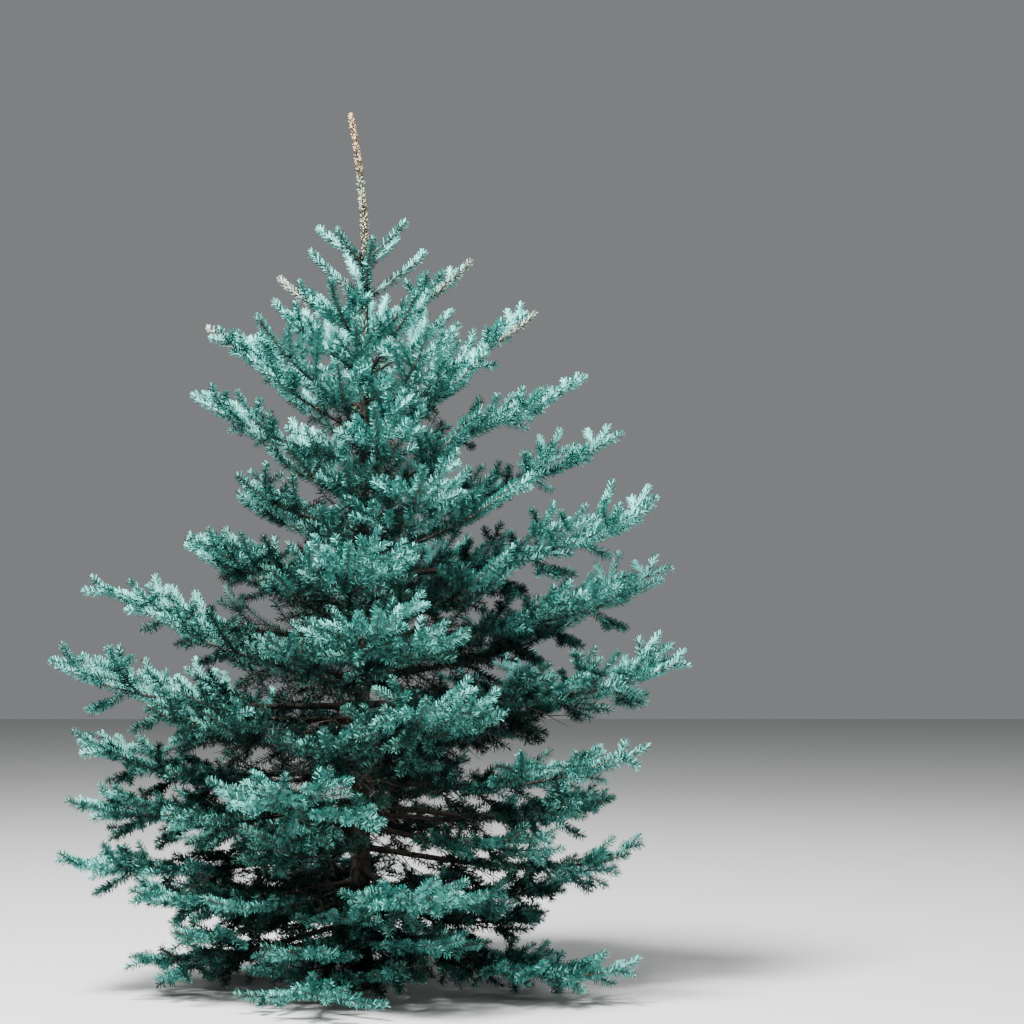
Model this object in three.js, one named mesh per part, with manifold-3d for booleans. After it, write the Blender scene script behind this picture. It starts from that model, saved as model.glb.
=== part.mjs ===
// A young blue spruce rooted in level ground: its trunk with the leader on top, the bare inner limbs of its
// lowest boughs, and a fan of needle-clad sprays on every bough.
//
// Millimetres, +Z up. The origin is the middle of the trunk's flat cut at ground level, +X is the right of the
// tree and -Y its front. A bearing is in degrees from +X, counter-clockwise from above, so -90 faces the front.

import * as THREE from "three";
import { mergeVertices } from "three/addons/utils/BufferGeometryUtils.js";
import Module from "manifold-3d";

const wasm = await Module();
wasm.setup();

// Driving dimensions of the trunk
const TREE_HEIGHT = 3500;
const LEADER_LENGTH = 600;
const CROWN_HEIGHT = TREE_HEIGHT - LEADER_LENGTH;
const TRUNK_RADIUS = 46;
const LEADER_RADIUS = 11;
const LEADER_TIP_RADIUS = 6;
const FLARE_RADIUS = 17;
const FLARE_HEIGHT = 95;
const FLARE_LOBES = 5;
const TRUNK_LEAN = 18;
const LEADER_BEND = 60;
const TRUNK_SIDES = 15;
const TRUNK_STEPS = 12;
const TRUNK_STEP_GROWTH = 1.7;

// Needles on the leader
const LEADER_ROUNDS = 6;
const LEADER_NEEDLE_LENGTH = 60;
const LEADER_NEEDLE_RADIUS = 9;
const LEADER_NEEDLE_SPREAD = 0.38;
const LEADER_NEEDLE_SPAN = [0.1, 0.85];
const LEADER_ROUND_TURN = 70;
const LEADER_TURN_SPREAD = 20;

// Driving dimensions of the boughs
const LIMB_SIDES = 6;
const LIMB_STEPS = 3;
const LIMB_ROOT_RADIUS = 4;
const LIMB_TAPER = 0.0085;
const LIMB_TIP_RADIUS = 2.6;
const ROOT_SLOPE_DROP = 0.12;
const TIP_UPTURN = 0.36;
const SIDE_SWAY = 0.05;
const REACH_SPREAD = 0.05;
// Boughs to the front and back leave the trunk lower than those to the sides, by more where their reach and
// height are further along these ranges
const WHORL_DROP = 100;
const DROP_REACHES = [200, 600];
const DROP_HEIGHTS = [200, 900];
const WHORL_STAGGER = 13;

// Driving dimensions of the sprays. A spray's rings are given as shares of its radius and of its length.
const SPRAY_BASE_RADIUS = 17;
const SPRAY_SLENDERNESS = 0.13;
const WIDEST_SPRAY = 70;
const SHORTEST_SPRAY = 100;
const SHORTEST_TIP = 150;
const LONG_SPRAY = 330;
const SPRAY_TWIST = 2;
const SHORT_SPRAY_RINGS = [
  [1, 0.42],
  [0.58, 0.64],
];
const LONG_SPRAY_RINGS = [
  [1, 0.36],
  [0.52, 0.42],
  [0.85, 0.74],
];
const TIP_SHARE = 0.36;
const STEM_SIDES = 3;
const STEM_STEPS = 3;
const STEM_OVERLAP = 0.04;
// A fan of side sprays starts, widens, tapers and ends at these shares of its bough
const FAN_WIDTH = 0.64;
const FAN_START = -0.08;
const FAN_FULL = 0.2;
const FAN_END = 1.08;
const FAN_TAPER = 0.8;
const SIDE_ANGLE = 48;
const SIDE_ANGLE_SPREAD = 8;
const SIDE_CLIMB_SPREAD = 0.18;
const SIDE_LENGTHS = [0.9, 1.08];
// The stations of side sprays are this far apart, and further by a share of the bough's reach
const STATION_SPACING = 80;
const STATION_GROWTH = 0.125;
const FIRST_STATION = 0.05;
const LAST_STATION = 0.01;
const PAIR_OFFSET = 22;
const RISING = { climb: 0.8, reachShare: 0.3 };
const HANGING = { climb: -0.75, reachShare: 0.32 };
const SWING = 35;

// Gaps, and what is tried where a spray doesn't fit at its full length
const CLEARANCE = 0.3;
const GROUND_GAP = 12;
const SHORTEST_EDGE = 0.05;
const MERGE_DISTANCE = 0.001;
const LINE_SAMPLES = 24;
const FULL_WIDTH_SHARES = [0.25, 0.5, 0.75];
const END_WIDTH = 0.3;
const NEARLY_UPRIGHT = 0.95;
const SHORTER_TRIES = [1, 0.82, 0.66, 0.5];
const SEED = 20260;

// The tiers of boughs from the leader down: where they leave the trunk, how far their tips reach to the right
// and the left of the tree, how far the tips rise for each unit of reach, how much of a bough is bare from the
// trunk out, and the bearing of each bough. A tier with limbs has each bough's bare part as a limb of its own.
const TIERS = [
  { height: 2900, right: 190, left: 195, rise: 0.7, bare: 0.02, bearings: [172, -125, -35, 48] },
  { height: 2600, right: 425, left: 360, rise: 0.66, bare: 0.04, bearings: [178, -108, -12, 80] },
  { height: 2330, right: 680, left: 645, rise: 0.52, bare: 0.06, bearings: [2, -66, -124, 176, 92] },
  { height: 2080, right: 880, left: 700, rise: 0.4, bare: 0.08, bearings: [-6, -84, -170, 110] },
  { height: 1850, right: 985, left: 560, rise: 0.34, bare: 0.08, bearings: [8, -72, -140, 125] },
  { height: 1620, right: 1130, left: 760, rise: 0.25, bare: 0.1, bearings: [-5, -90, -150, 160, 72] },
  { height: 1380, right: 1170, left: 1010, rise: 0.2, bare: 0.12, bearings: [5, -84, -177, 94] },
  { height: 1120, right: 1300, left: 1170, rise: 0.14, bare: 0.14, bearings: [-10, -76, -162, 136, 58] },
  { height: 850, right: 1200, left: 1200, rise: 0.1, bare: 0.2, limbs: true, bearings: [-34, -104, 174, 78] },
  { height: 550, right: 1060, left: 1190, rise: -0.02, bare: 0.2, limbs: true, bearings: [-4, -80, -168, 104] },
  { height: 260, right: 1130, left: 960, rise: -0.12, bare: 0.2, limbs: true, bearings: [-32, -98, -160, 70] },
];
const SIDES = ["right", "back_right", "back", "back_left", "left", "front_left", "front", "front_right"];

function mattMaterial(color, roughness) {
  return new THREE.MeshStandardMaterial({ color, roughness, metalness: 0, flatShading: true });
}

const bark = mattMaterial(0x6b5a4b, 0.92);
const needles = mattMaterial(0x4f8583, 0.7);

const UP = new THREE.Vector3(0, 0, 1);
const REARWARD = new THREE.Vector3(0, 1, 0);
const { clamp, lerp, smoothstep, degToRad } = THREE.MathUtils;

// A seeded source of numbers from 0 to 1, so that the tree grows the same way every time.
function seededRandom(seed) {
  let state = seed;
  return () => {
    state = (state * 1664525 + 1013904223) % 4294967296;
    return state / 4294967296;
  };
}

// A random number from -1 to 1.
function spread(random) {
  return 2 * random() - 1;
}

// The trunk's centre line, by height: it leans a little to the right and its leader bends back to the left.
function trunkAxis(z) {
  const leader = clamp((z - CROWN_HEIGHT) / LEADER_LENGTH, 0, 1);
  const x = TRUNK_LEAN * Math.min(z / CROWN_HEIGHT, 1) - LEADER_BEND * leader * leader;
  return new THREE.Vector3(x, 0, z);
}

// The trunk's radius by height, without the lobes of its root flare.
function trunkRadius(z) {
  if (z > CROWN_HEIGHT) return lerp(LEADER_RADIUS, LEADER_TIP_RADIUS, (z - CROWN_HEIGHT) / LEADER_LENGTH);
  return lerp(TRUNK_RADIUS, LEADER_RADIUS, z / CROWN_HEIGHT) + FLARE_RADIUS * Math.exp(-z / FLARE_HEIGHT);
}

// How far the root flare's lobes stand out of the trunk, at a height and an angle round it.
function flareLobe(z, angle) {
  return FLARE_RADIUS * Math.exp(-z / FLARE_HEIGHT) * Math.cos(FLARE_LOBES * angle);
}

// The trunk's height at a share of its line. Steps are shorter near the ground, where the flare bends most.
function trunkHeight(share) {
  return TREE_HEIGHT * Math.pow(share, TRUNK_STEP_GROWTH);
}

class TrunkLine extends THREE.Curve {
  getPoint(share, target = new THREE.Vector3()) {
    return target.copy(trunkAxis(trunkHeight(share)));
  }
}

// A bough's centre line: out from the trunk along its bearing, in one smooth rise that turns up at the tip.
class BoughLine extends THREE.Curve {
  constructor(tier, bearing, random) {
    super();
    const angle = degToRad(bearing);
    const rightward = (1 + Math.cos(angle)) / 2;
    this.reach = lerp(tier.left, tier.right, rightward) * (1 + REACH_SPREAD * spread(random));
    this.rise = tier.rise;
    this.sway = SIDE_SWAY * this.reach * spread(random);
    this.outward = new THREE.Vector3(Math.cos(angle), Math.sin(angle), 0);
    this.sideways = new THREE.Vector3().crossVectors(UP, this.outward);
    const midCrown = smoothstep(this.reach, ...DROP_REACHES) * smoothstep(tier.height, ...DROP_HEIGHTS);
    const stagger = tier.bearings.indexOf(bearing) % 2 === 0 ? WHORL_STAGGER : -WHORL_STAGGER;
    this.foot = trunkAxis(tier.height - WHORL_DROP * Math.sin(angle) ** 2 * midCrown + stagger);
  }

  getPoint(share, target = new THREE.Vector3()) {
    const s2 = share * share;
    const s3 = s2 * share;
    const rootSlope = this.rise - ROOT_SLOPE_DROP;
    const tipSlope = this.rise + TIP_UPTURN;
    const climb = (s3 - 2 * s2 + share) * rootSlope + (3 * s2 - 2 * s3) * this.rise + (s3 - s2) * tipSlope;
    return target
      .copy(this.foot)
      .addScaledVector(this.outward, share * this.reach)
      .addScaledVector(this.sideways, Math.sin(share * Math.PI) * this.sway)
      .addScaledVector(UP, climb * this.reach);
  }

  radiusAt(share) {
    return lerp(LIMB_ROOT_RADIUS + LIMB_TAPER * this.reach, LIMB_TIP_RADIUS, share);
  }
}

// A tapering tube: a cylinder whose rings are moved onto the stretch of a curve from one share of it to
// another. radiusAt gives the radius for a share of the curve and an angle round it.
function limbGeometry(curve, from, to, sides, steps, radiusAt, reference = UP) {
  const geometry = new THREE.CylinderGeometry(1, 1, 1, sides, steps);
  const position = geometry.getAttribute("position");
  const vertex = new THREE.Vector3();
  for (let i = 0; i < position.count; i++) {
    vertex.fromBufferAttribute(position, i);
    const share = lerp(from, to, vertex.y + 0.5);
    const tangent = curve.getTangent(share);
    const across = new THREE.Vector3().crossVectors(reference, tangent).normalize();
    const over = new THREE.Vector3().crossVectors(tangent, across);
    const radius = radiusAt(share, Math.atan2(vertex.z, vertex.x));
    const point = curve
      .getPoint(share)
      .addScaledVector(over, vertex.x * radius)
      .addScaledVector(across, vertex.z * radius);
    position.setXYZ(i, point.x, point.y, point.z);
  }
  return geometry;
}

// A spray of needles along +Y: a slim three-sided core whose rings stand out as rounds of three teeth. Each
// ring is turned on from the one before it, and a long spray has a ring more.
function sprayGeometry(length, radius) {
  const rings = length < LONG_SPRAY ? SHORT_SPRAY_RINGS : LONG_SPRAY_RINGS;
  const profile = [[0, 0], ...rings, [0, 1]].map(([x, y]) => new THREE.Vector2(x * radius, y * length));
  const geometry = new THREE.LatheGeometry(profile, 3);
  const position = geometry.getAttribute("position");
  const vertex = new THREE.Vector3();
  for (let i = 0; i < position.count; i++) {
    vertex.fromBufferAttribute(position, i);
    vertex.applyAxisAngle(new THREE.Vector3(0, 1, 0), (SPRAY_TWIST * vertex.y) / length);
    position.setXYZ(i, vertex.x, vertex.y, vertex.z);
  }
  return geometry;
}

// The turn that takes +Y to a direction, with +X level.
function placement(from, direction) {
  const along = direction.clone().normalize();
  const reference = Math.abs(along.z) > NEARLY_UPRIGHT ? REARWARD : UP;
  const across = new THREE.Vector3().crossVectors(along, reference).normalize();
  const over = new THREE.Vector3().crossVectors(across, along);
  return new THREE.Matrix4().makeBasis(across, along, over).setPosition(from);
}

// The same geometry with each face turned round.
function turnedOut(geometry) {
  const index = Array.from(geometry.getIndex().array);
  for (let i = 0; i < index.length; i += 3) [index[i + 1], index[i + 2]] = [index[i + 2], index[i + 1]];
  return geometry.clone().setIndex(index);
}

// A closed geometry as a solid that can be joined and cut.
function solidOf(geometry) {
  const bare = new THREE.BufferGeometry()
    .setAttribute("position", geometry.getAttribute("position").clone())
    .setIndex(geometry.getIndex());
  const merged = mergeVertices(bare, MERGE_DISTANCE);
  const index = merged.getIndex().array;
  const kept = [];
  for (let i = 0; i < index.length; i += 3) {
    const [a, b, c] = index.slice(i, i + 3);
    if (a !== b && b !== c && c !== a) kept.push(a, b, c);
  }
  const solid = new wasm.Manifold(
    new wasm.Mesh({
      numProp: 3,
      vertProperties: new Float32Array(merged.getAttribute("position").array),
      triVerts: new Uint32Array(kept),
    }),
  );
  return solid.volume() < 0 ? solidOf(turnedOut(geometry)) : solid;
}

function geometryOf(solid) {
  const data = solid.getMesh();
  return new THREE.BufferGeometry()
    .setAttribute("position", new THREE.BufferAttribute(new Float32Array(data.vertProperties), 3))
    .setIndex(new THREE.BufferAttribute(new Uint32Array(data.triVerts), 1));
}

// A solid as a named mesh, without edges too short to keep. It is rounded to the mesh's own numbers first, and
// then only its largest body is kept, so that no loose scrap or sealed hollow stays in it.
function meshOf(name, solid, material) {
  const bodies = solidOf(geometryOf(solid.simplify(SHORTEST_EDGE))).decompose();
  const largest = bodies.reduce((best, next) => (next.volume() > best.volume() ? next : best));
  const geometry = geometryOf(largest);
  geometry.computeVertexNormals();
  const mesh = new THREE.Mesh(geometry, material);
  mesh.name = name;
  return mesh;
}

// The space of each bough's foliage: what lies nearer to that bough than to any other, clear of the trunk's
// wood and of the ground.
class OwnSpace {
  constructor(lines) {
    this.samples = lines.map((line) => line.getPoints(LINE_SAMPLES));
  }

  static distance(point, samples) {
    let least = Infinity;
    const segment = new THREE.Line3();
    const nearest = new THREE.Vector3();
    for (let i = 1; i < samples.length; i++) {
      segment.set(samples[i - 1], samples[i]);
      segment.closestPointToPoint(point, true, nearest);
      least = Math.min(least, nearest.distanceTo(point));
    }
    return least;
  }

  // Whether a ball round a point lies inside the space of the bough that owns it.
  holdsBall(owner, point, radius) {
    const axis = trunkAxis(point.z);
    const fromTrunk = Math.hypot(point.x - axis.x, point.y - axis.y) - trunkRadius(point.z);
    if (point.z - radius < GROUND_GAP || fromTrunk < radius + CLEARANCE) return false;
    const own = OwnSpace.distance(point, this.samples[owner]);
    return this.samples.every(
      (other, i) => i === owner || OwnSpace.distance(point, other) - own > 2 * radius + CLEARANCE,
    );
  }

  // Whether a straight spray does: it is at its full width between its quarter points and slim at its end.
  holds(owner, start, end, radius) {
    const at = (share) => new THREE.Vector3().lerpVectors(start, end, share);
    const wide = FULL_WIDTH_SHARES.every((share) => this.holdsBall(owner, at(share), radius));
    return wide && this.holdsBall(owner, end, END_WIDTH * radius);
  }
}

// The sprays of one bough. Its stem starts at one share of the bough's line and its sprays at another. Pairs of
// side sprays leave the stem at even stations, longest where the fan is widest, and between two stations one
// spray rises from the stem and one hangs under it.
class Foliage {
  constructor(line, owner, stemStart, sprayStart, space, random) {
    Object.assign(this, { line, owner, stemStart, sprayStart, space, random, solids: [] });
  }

  // A spray that grows from a point of the stem, as long as fits of the lengths that are tried.
  addSpray(from, direction, longest) {
    for (const share of SHORTER_TRIES) {
      const length = longest * share;
      if (length < SHORTEST_SPRAY) return;
      const radius = Math.min(WIDEST_SPRAY, SPRAY_BASE_RADIUS + SPRAY_SLENDERNESS * length);
      const end = from.clone().addScaledVector(direction, length);
      if (!this.space.holds(this.owner, from, end, radius)) continue;
      this.solids.push(solidOf(sprayGeometry(length, radius).applyMatrix4(placement(from, direction))));
      return;
    }
  }

  // A direction that leaves the stem at an angle to one side of it and climbs or sinks from it.
  leaving(share, angle, climb) {
    const along = this.line.getTangent(share);
    return along.applyAxisAngle(UP, degToRad(angle)).addScaledVector(UP, climb).normalize();
  }

  sideLength(share) {
    const widening = smoothstep(share, this.sprayStart + FAN_START, this.sprayStart + FAN_FULL);
    return this.line.reach * FAN_WIDTH * widening * Math.pow(FAN_END - share, FAN_TAPER);
  }

  addPair(share) {
    for (const side of [1, -1]) {
      const at = share + (side * PAIR_OFFSET) / this.line.getLength();
      const angle = side * (SIDE_ANGLE + SIDE_ANGLE_SPREAD * spread(this.random));
      const direction = this.leaving(at, angle, SIDE_CLIMB_SPREAD * spread(this.random));
      const length = this.sideLength(share) * lerp(...SIDE_LENGTHS, this.random());
      this.addSpray(this.line.getPoint(at), direction, length);
    }
  }

  grow() {
    const { line, stemStart, sprayStart, random } = this;
    const whole = line.getLength();
    const tipLength = clamp(TIP_SHARE * whole, SHORTEST_TIP, LONG_SPRAY);
    const tipStart = 1 - tipLength / whole;
    const stemEnd = tipStart + STEM_OVERLAP;
    const radiusAt = (share) => line.radiusAt(share);
    this.solids.push(solidOf(limbGeometry(line, stemStart, stemEnd, STEM_SIDES, STEM_STEPS, radiusAt)));
    const tipRoot = line.getPoint(tipStart);
    this.addSpray(tipRoot, line.getPoint(1).sub(tipRoot).normalize(), tipLength);
    const first = sprayStart + FIRST_STATION;
    const spacing = STATION_SPACING + STATION_GROWTH * line.reach;
    const stations = Math.max(1, Math.round(((tipStart - first) * whole) / spacing));
    for (let i = 0; i <= stations; i++) {
      this.addPair(lerp(first, tipStart - LAST_STATION, i / stations));
      if (i === stations) break;
      const between = lerp(first, tipStart, (i + 0.5) / stations);
      for (const { climb, reachShare } of [RISING, HANGING]) {
        const direction = this.leaving(between, SWING * spread(random), climb);
        this.addSpray(line.getPoint(between), direction, reachShare * line.reach);
      }
    }
    return wasm.Manifold.union(this.solids);
  }
}

// The wood of the trunk, or the space that it needs where a gap is given.
function trunkSolid(gap = 0) {
  const radiusAt = (share, angle) => {
    const z = trunkHeight(share);
    return trunkRadius(z) + flareLobe(z, angle) + gap;
  };
  return solidOf(limbGeometry(new TrunkLine(), 0, 1, TRUNK_SIDES, TRUNK_STEPS, radiusAt, REARWARD));
}

// Needles on the leader: pairs of small sprays whose roots are sunk into the trunk's top.
function leaderNeedles(random) {
  const solids = [];
  for (let i = 0; i < 2 * LEADER_ROUNDS; i++) {
    const z = CROWN_HEIGHT + LEADER_LENGTH * lerp(...LEADER_NEEDLE_SPAN, i / (2 * LEADER_ROUNDS - 1));
    const turn = LEADER_ROUND_TURN * Math.floor(i / 2) + LEADER_TURN_SPREAD * random();
    const angle = Math.PI * i + degToRad(turn);
    const direction = new THREE.Vector3(Math.cos(angle), Math.sin(angle), 0)
      .multiplyScalar(LEADER_NEEDLE_SPREAD)
      .add(UP)
      .normalize();
    const geometry = sprayGeometry(LEADER_NEEDLE_LENGTH, LEADER_NEEDLE_RADIUS);
    solids.push(solidOf(geometry.applyMatrix4(placement(trunkAxis(z), direction))));
  }
  return solids;
}

// The side of the tree that a bearing points to, in words.
function sideName(bearing) {
  return SIDES[(Math.round(bearing / 45) + SIDES.length) % SIDES.length];
}

const spruce = new THREE.Group();
const random = seededRandom(SEED);
const boughs = TIERS.flatMap((tier, i) =>
  tier.bearings.map((bearing) => ({
    tier,
    place: String(i + 1).padStart(2, "0") + "_" + sideName(bearing),
    line: new BoughLine(tier, bearing, random),
  })),
);
const space = new OwnSpace(boughs.map((bough) => bough.line));
const trunkSpace = trunkSolid(CLEARANCE);

spruce.add(meshOf("trunk", wasm.Manifold.union([trunkSolid(), ...leaderNeedles(random)]), bark));
boughs.forEach(({ tier, place, line }, owner) => {
  if (tier.limbs) {
    const radiusAt = (share) => line.radiusAt(share);
    const limb = limbGeometry(line, 0, tier.bare, LIMB_SIDES, LIMB_STEPS, radiusAt);
    spruce.add(meshOf("bough_tier_" + place, solidOf(limb).subtract(trunkSpace), bark));
    const stemStart = tier.bare + CLEARANCE / line.getLength();
    const foliage = new Foliage(line, owner, stemStart, tier.bare, space, random);
    spruce.add(meshOf("foliage_tier_" + place, foliage.grow(), needles));
  } else {
    const foliage = new Foliage(line, owner, 0, tier.bare, space, random);
    spruce.add(meshOf("foliage_tier_" + place, foliage.grow().subtract(trunkSpace), needles));
  }
});

export default spruce;
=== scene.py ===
"""A young blue spruce in a plain studio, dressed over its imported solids.

The trunk gets its bark's relief. Each bough is grown again by the rule that made its solids and is carried
on to finer twigs, with needles, buds and some dead wood, and shorter boughs fill the crown between them.
Metres, +Z up. The origin is the middle of the trunk's flat cut at ground level, +X is the right of the tree
and -Y its front. A bearing is in degrees from +X, counter-clockwise from above.
"""

import logging
import math
from collections.abc import Callable, Iterable
from dataclasses import dataclass, field
from enum import Enum
from itertools import product

import bpy
import numpy as np
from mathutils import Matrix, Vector


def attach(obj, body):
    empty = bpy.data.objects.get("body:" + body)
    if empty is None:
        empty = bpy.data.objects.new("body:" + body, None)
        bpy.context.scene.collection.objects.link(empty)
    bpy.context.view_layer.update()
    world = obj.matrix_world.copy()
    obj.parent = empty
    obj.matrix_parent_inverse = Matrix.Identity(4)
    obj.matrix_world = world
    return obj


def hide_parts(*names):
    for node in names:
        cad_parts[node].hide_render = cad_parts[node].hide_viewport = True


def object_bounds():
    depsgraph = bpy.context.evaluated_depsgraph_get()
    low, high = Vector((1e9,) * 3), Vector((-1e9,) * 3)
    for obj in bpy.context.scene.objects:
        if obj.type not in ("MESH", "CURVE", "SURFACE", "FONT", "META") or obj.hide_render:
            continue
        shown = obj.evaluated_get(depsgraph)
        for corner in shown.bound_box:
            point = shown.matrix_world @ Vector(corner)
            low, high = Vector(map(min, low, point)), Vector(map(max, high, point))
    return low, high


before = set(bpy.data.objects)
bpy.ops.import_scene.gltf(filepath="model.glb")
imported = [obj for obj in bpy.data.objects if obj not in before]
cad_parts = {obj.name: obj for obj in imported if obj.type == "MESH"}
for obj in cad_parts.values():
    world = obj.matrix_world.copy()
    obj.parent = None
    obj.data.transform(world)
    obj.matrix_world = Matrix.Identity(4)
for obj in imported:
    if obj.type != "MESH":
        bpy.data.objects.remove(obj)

Array = np.ndarray
Colour = tuple[float, float, float, float]

CAD_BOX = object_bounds()
UP = np.array([0.0, 0.0, 1.0])
GOLDEN_ANGLE = math.pi * (3 - math.sqrt(5))
NEARLY_UP = 0.98
SEED = 20260
log = logging.getLogger("spruce")


class Tone(Enum):
    """The tints of needles, in the order of a needle mesh's material slots."""

    FROST = 0
    BLUE = 1
    # Teal and deep are darkened as painted shade, for needles inside the crown, low down and under the
    # boughs.
    TEAL = 2
    DEEP_SHADE = 3
    STRAW = 4
    TAN = 5


@dataclass(frozen=True)
class Tier:
    """One round of boughs.

    It leaves the trunk at a height, reaches out to the right and to the left, and rises by a slope. A share
    of each bough is bare of living twigs. An openness above 1 sets the twigs further apart.
    """

    height: float
    right: float
    left: float
    rise: float
    bare: float
    bearings: tuple[float, ...]
    openness: float = 1.0


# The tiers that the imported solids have, from the top down.
TIERS = (
    Tier(2.90, 0.190, 0.195, 0.70, 0.02, (172, -125, -35, 48)),
    Tier(2.60, 0.425, 0.360, 0.66, 0.04, (178, -108, -12, 80)),
    Tier(2.33, 0.680, 0.645, 0.52, 0.06, (2, -66, -124, 176, 92)),
    Tier(2.08, 0.880, 0.700, 0.40, 0.08, (-6, -84, -170, 110)),
    Tier(1.85, 0.985, 0.560, 0.34, 0.08, (8, -72, -140, 125)),
    Tier(1.62, 1.130, 0.760, 0.25, 0.10, (-5, -90, -150, 160, 72)),
    Tier(1.38, 1.170, 1.010, 0.20, 0.12, (5, -84, -177, 94)),
    Tier(1.12, 1.300, 1.170, 0.14, 0.14, (-10, -76, -162, 136, 58)),
    Tier(0.85, 1.200, 1.200, 0.10, 0.20, (-34, -104, 174, 78)),
    Tier(0.55, 1.060, 1.190, -0.02, 0.20, (-4, -80, -168, 104)),
    Tier(0.26, 1.130, 0.960, -0.12, 0.20, (-32, -98, -160, 70)),
)
# Shorter boughs between them, which only the scene has.
INNER_TIERS = (
    Tier(2.77, 0.24, 0.23, 0.80, 0.02, (-80, 10, 110, -160), 1.3),
    Tier(2.47, 0.44, 0.42, 0.70, 0.03, (-60, 35, 130, -150), 1.3),
    Tier(2.21, 0.58, 0.52, 0.60, 0.04, (-98, -30, 45, 135, -152), 1.3),
    Tier(1.97, 0.64, 0.46, 0.50, 0.05, (-48, -125, 60, 150), 1.3),
    Tier(1.74, 0.74, 0.48, 0.42, 0.05, (-105, -32, 40, 100, 172), 1.3),
    Tier(1.50, 0.82, 0.64, 0.34, 0.06, (-118, -45, 32, 115, -172), 1.1),
    Tier(1.25, 0.88, 0.84, 0.28, 0.08, (-112, 12, 40, 130, -150), 1.1),
    Tier(0.99, 0.88, 0.90, 0.20, 0.12, (-128, -96, 20, 100, 160, -150, 62)),
    Tier(0.70, 0.84, 0.92, 0.06, 0.15, (-138, 140, -170, -112, 98, 58)),
    Tier(0.72, 1.04, 1.00, 0.02, 0.42, (6, -52, 40)),
    Tier(0.42, 0.86, 0.92, 0.00, 0.12, (-128, -94, -56, 20, 145, -178, 62, 108, -154)),
    Tier(0.36, 0.90, 0.90, -0.10, 0.14, (-142, -104, -72, 38, 126)),
    Tier(0.74, 1.00, 1.08, 0.00, 0.12, (-177, 152)),
    Tier(0.86, 0.80, 0.84, 0.04, 0.10, (-156,)),
    Tier(0.21, 0.80, 0.80, -0.09, 0.10, (-83, 92, 142, 6)),
    Tier(1.10, 0.80, 0.86, 0.14, 0.06, (-142, -62)),
    Tier(2.40, 0.38, 0.38, 0.68, 0.02, (-92,)),
    Tier(2.14, 0.48, 0.48, 0.56, 0.02, (-68,)),
    Tier(1.91, 0.54, 0.54, 0.46, 0.03, (-94,)),
    Tier(2.50, 0.34, 0.34, 0.70, 0.02, (92,)),
    Tier(2.26, 0.44, 0.44, 0.60, 0.02, (78,)),
    Tier(2.04, 0.52, 0.52, 0.50, 0.03, (102,)),
    Tier(1.82, 0.56, 0.56, 0.42, 0.03, (86,)),
    Tier(1.58, 0.62, 0.62, 0.32, 0.04, (98,)),
    Tier(1.36, 0.68, 0.68, 0.22, 0.05, (82,)),
    Tier(0.90, 0.80, 0.80, 0.05, 0.08, (90,)),
)


def smoothstep(value: float, low: float, high: float) -> float:
    """A smooth ramp.

    Args:
        value: Where on the ramp.
        low: Where the ramp starts, at 0.
        high: Where it ends, at 1.

    Returns:
        The ramp's height there.
    """
    share = min(max((value - low) / (high - low), 0.0), 1.0)
    return share * share * (3 - 2 * share)


def unit(vectors: Array) -> Array:
    """Vectors of length 1 along the last axis of the given ones."""
    return vectors / np.maximum(np.linalg.norm(vectors, axis=-1, keepdims=True), 1e-9)


def across_and_over(along: Array) -> tuple[Array, Array]:
    """The level direction across each of some directions, and the one square to both.

    Args:
        along: Directions of length 1.

    Returns:
        The directions across, and those over.
    """
    nearly_up = np.abs(along[..., 2:3]) > NEARLY_UP
    reference = np.where(nearly_up, np.array([0.0, 1.0, 0.0]), UP)
    across = unit(np.cross(reference, along))
    return across, np.cross(along, across)


class SeededRandom:
    """The solids' own row of numbers from 0 to 1, so that the boughs come out where theirs are."""

    FACTOR = 1664525
    STEP = 1013904223
    SIZE = 4294967296

    def __init__(self, seed: int) -> None:
        """Start the row.

        Args:
            seed: Where it starts.
        """
        self.state = seed

    def share(self) -> float:
        """The next number from 0 to 1."""
        self.state = (self.state * self.FACTOR + self.STEP) % self.SIZE
        return self.state / self.SIZE

    def spread(self) -> float:
        """The next number from -1 to 1."""
        return 2 * self.share() - 1

    def between(self, low: float, high: float) -> float:
        """The next number between two others."""
        return low + (high - low) * self.share()


@dataclass(frozen=True)
class TrunkForm:
    """The trunk's centre line and taper, by height."""

    height: float = CAD_BOX[1][2]
    leader: float = 0.6
    foot_radius: float = 0.046
    leader_radius: float = 0.011
    tip_radius: float = 0.006
    flare_radius: float = 0.017
    flare_height: float = 0.095
    flare_lobes: int = 5
    lean: float = 0.018
    bend: float = 0.06

    @property
    def crown_height(self) -> float:
        """Where the trunk ends and the leader starts."""
        return self.height - self.leader

    def axis(self, z: float) -> Array:
        """The centre line's point at a height: a little to the right, then back to the left up the leader.

        Args:
            z: The height.

        Returns:
            The point.
        """
        leader = min(max((z - self.crown_height) / self.leader, 0.0), 1.0)
        x = self.lean * min(z / self.crown_height, 1.0) - self.bend * leader * leader
        return np.array([x, 0.0, z])

    def radius(self, z: float) -> float:
        """The trunk's radius at a height, without the lobes of its flare.

        Args:
            z: The height.

        Returns:
            The radius.
        """
        if z > self.crown_height:
            share = (z - self.crown_height) / self.leader
            return self.leader_radius + (self.tip_radius - self.leader_radius) * share
        taper = self.foot_radius + (self.leader_radius - self.foot_radius) * z / self.crown_height
        return taper + self.flare_radius * math.exp(-z / self.flare_height)


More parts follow.
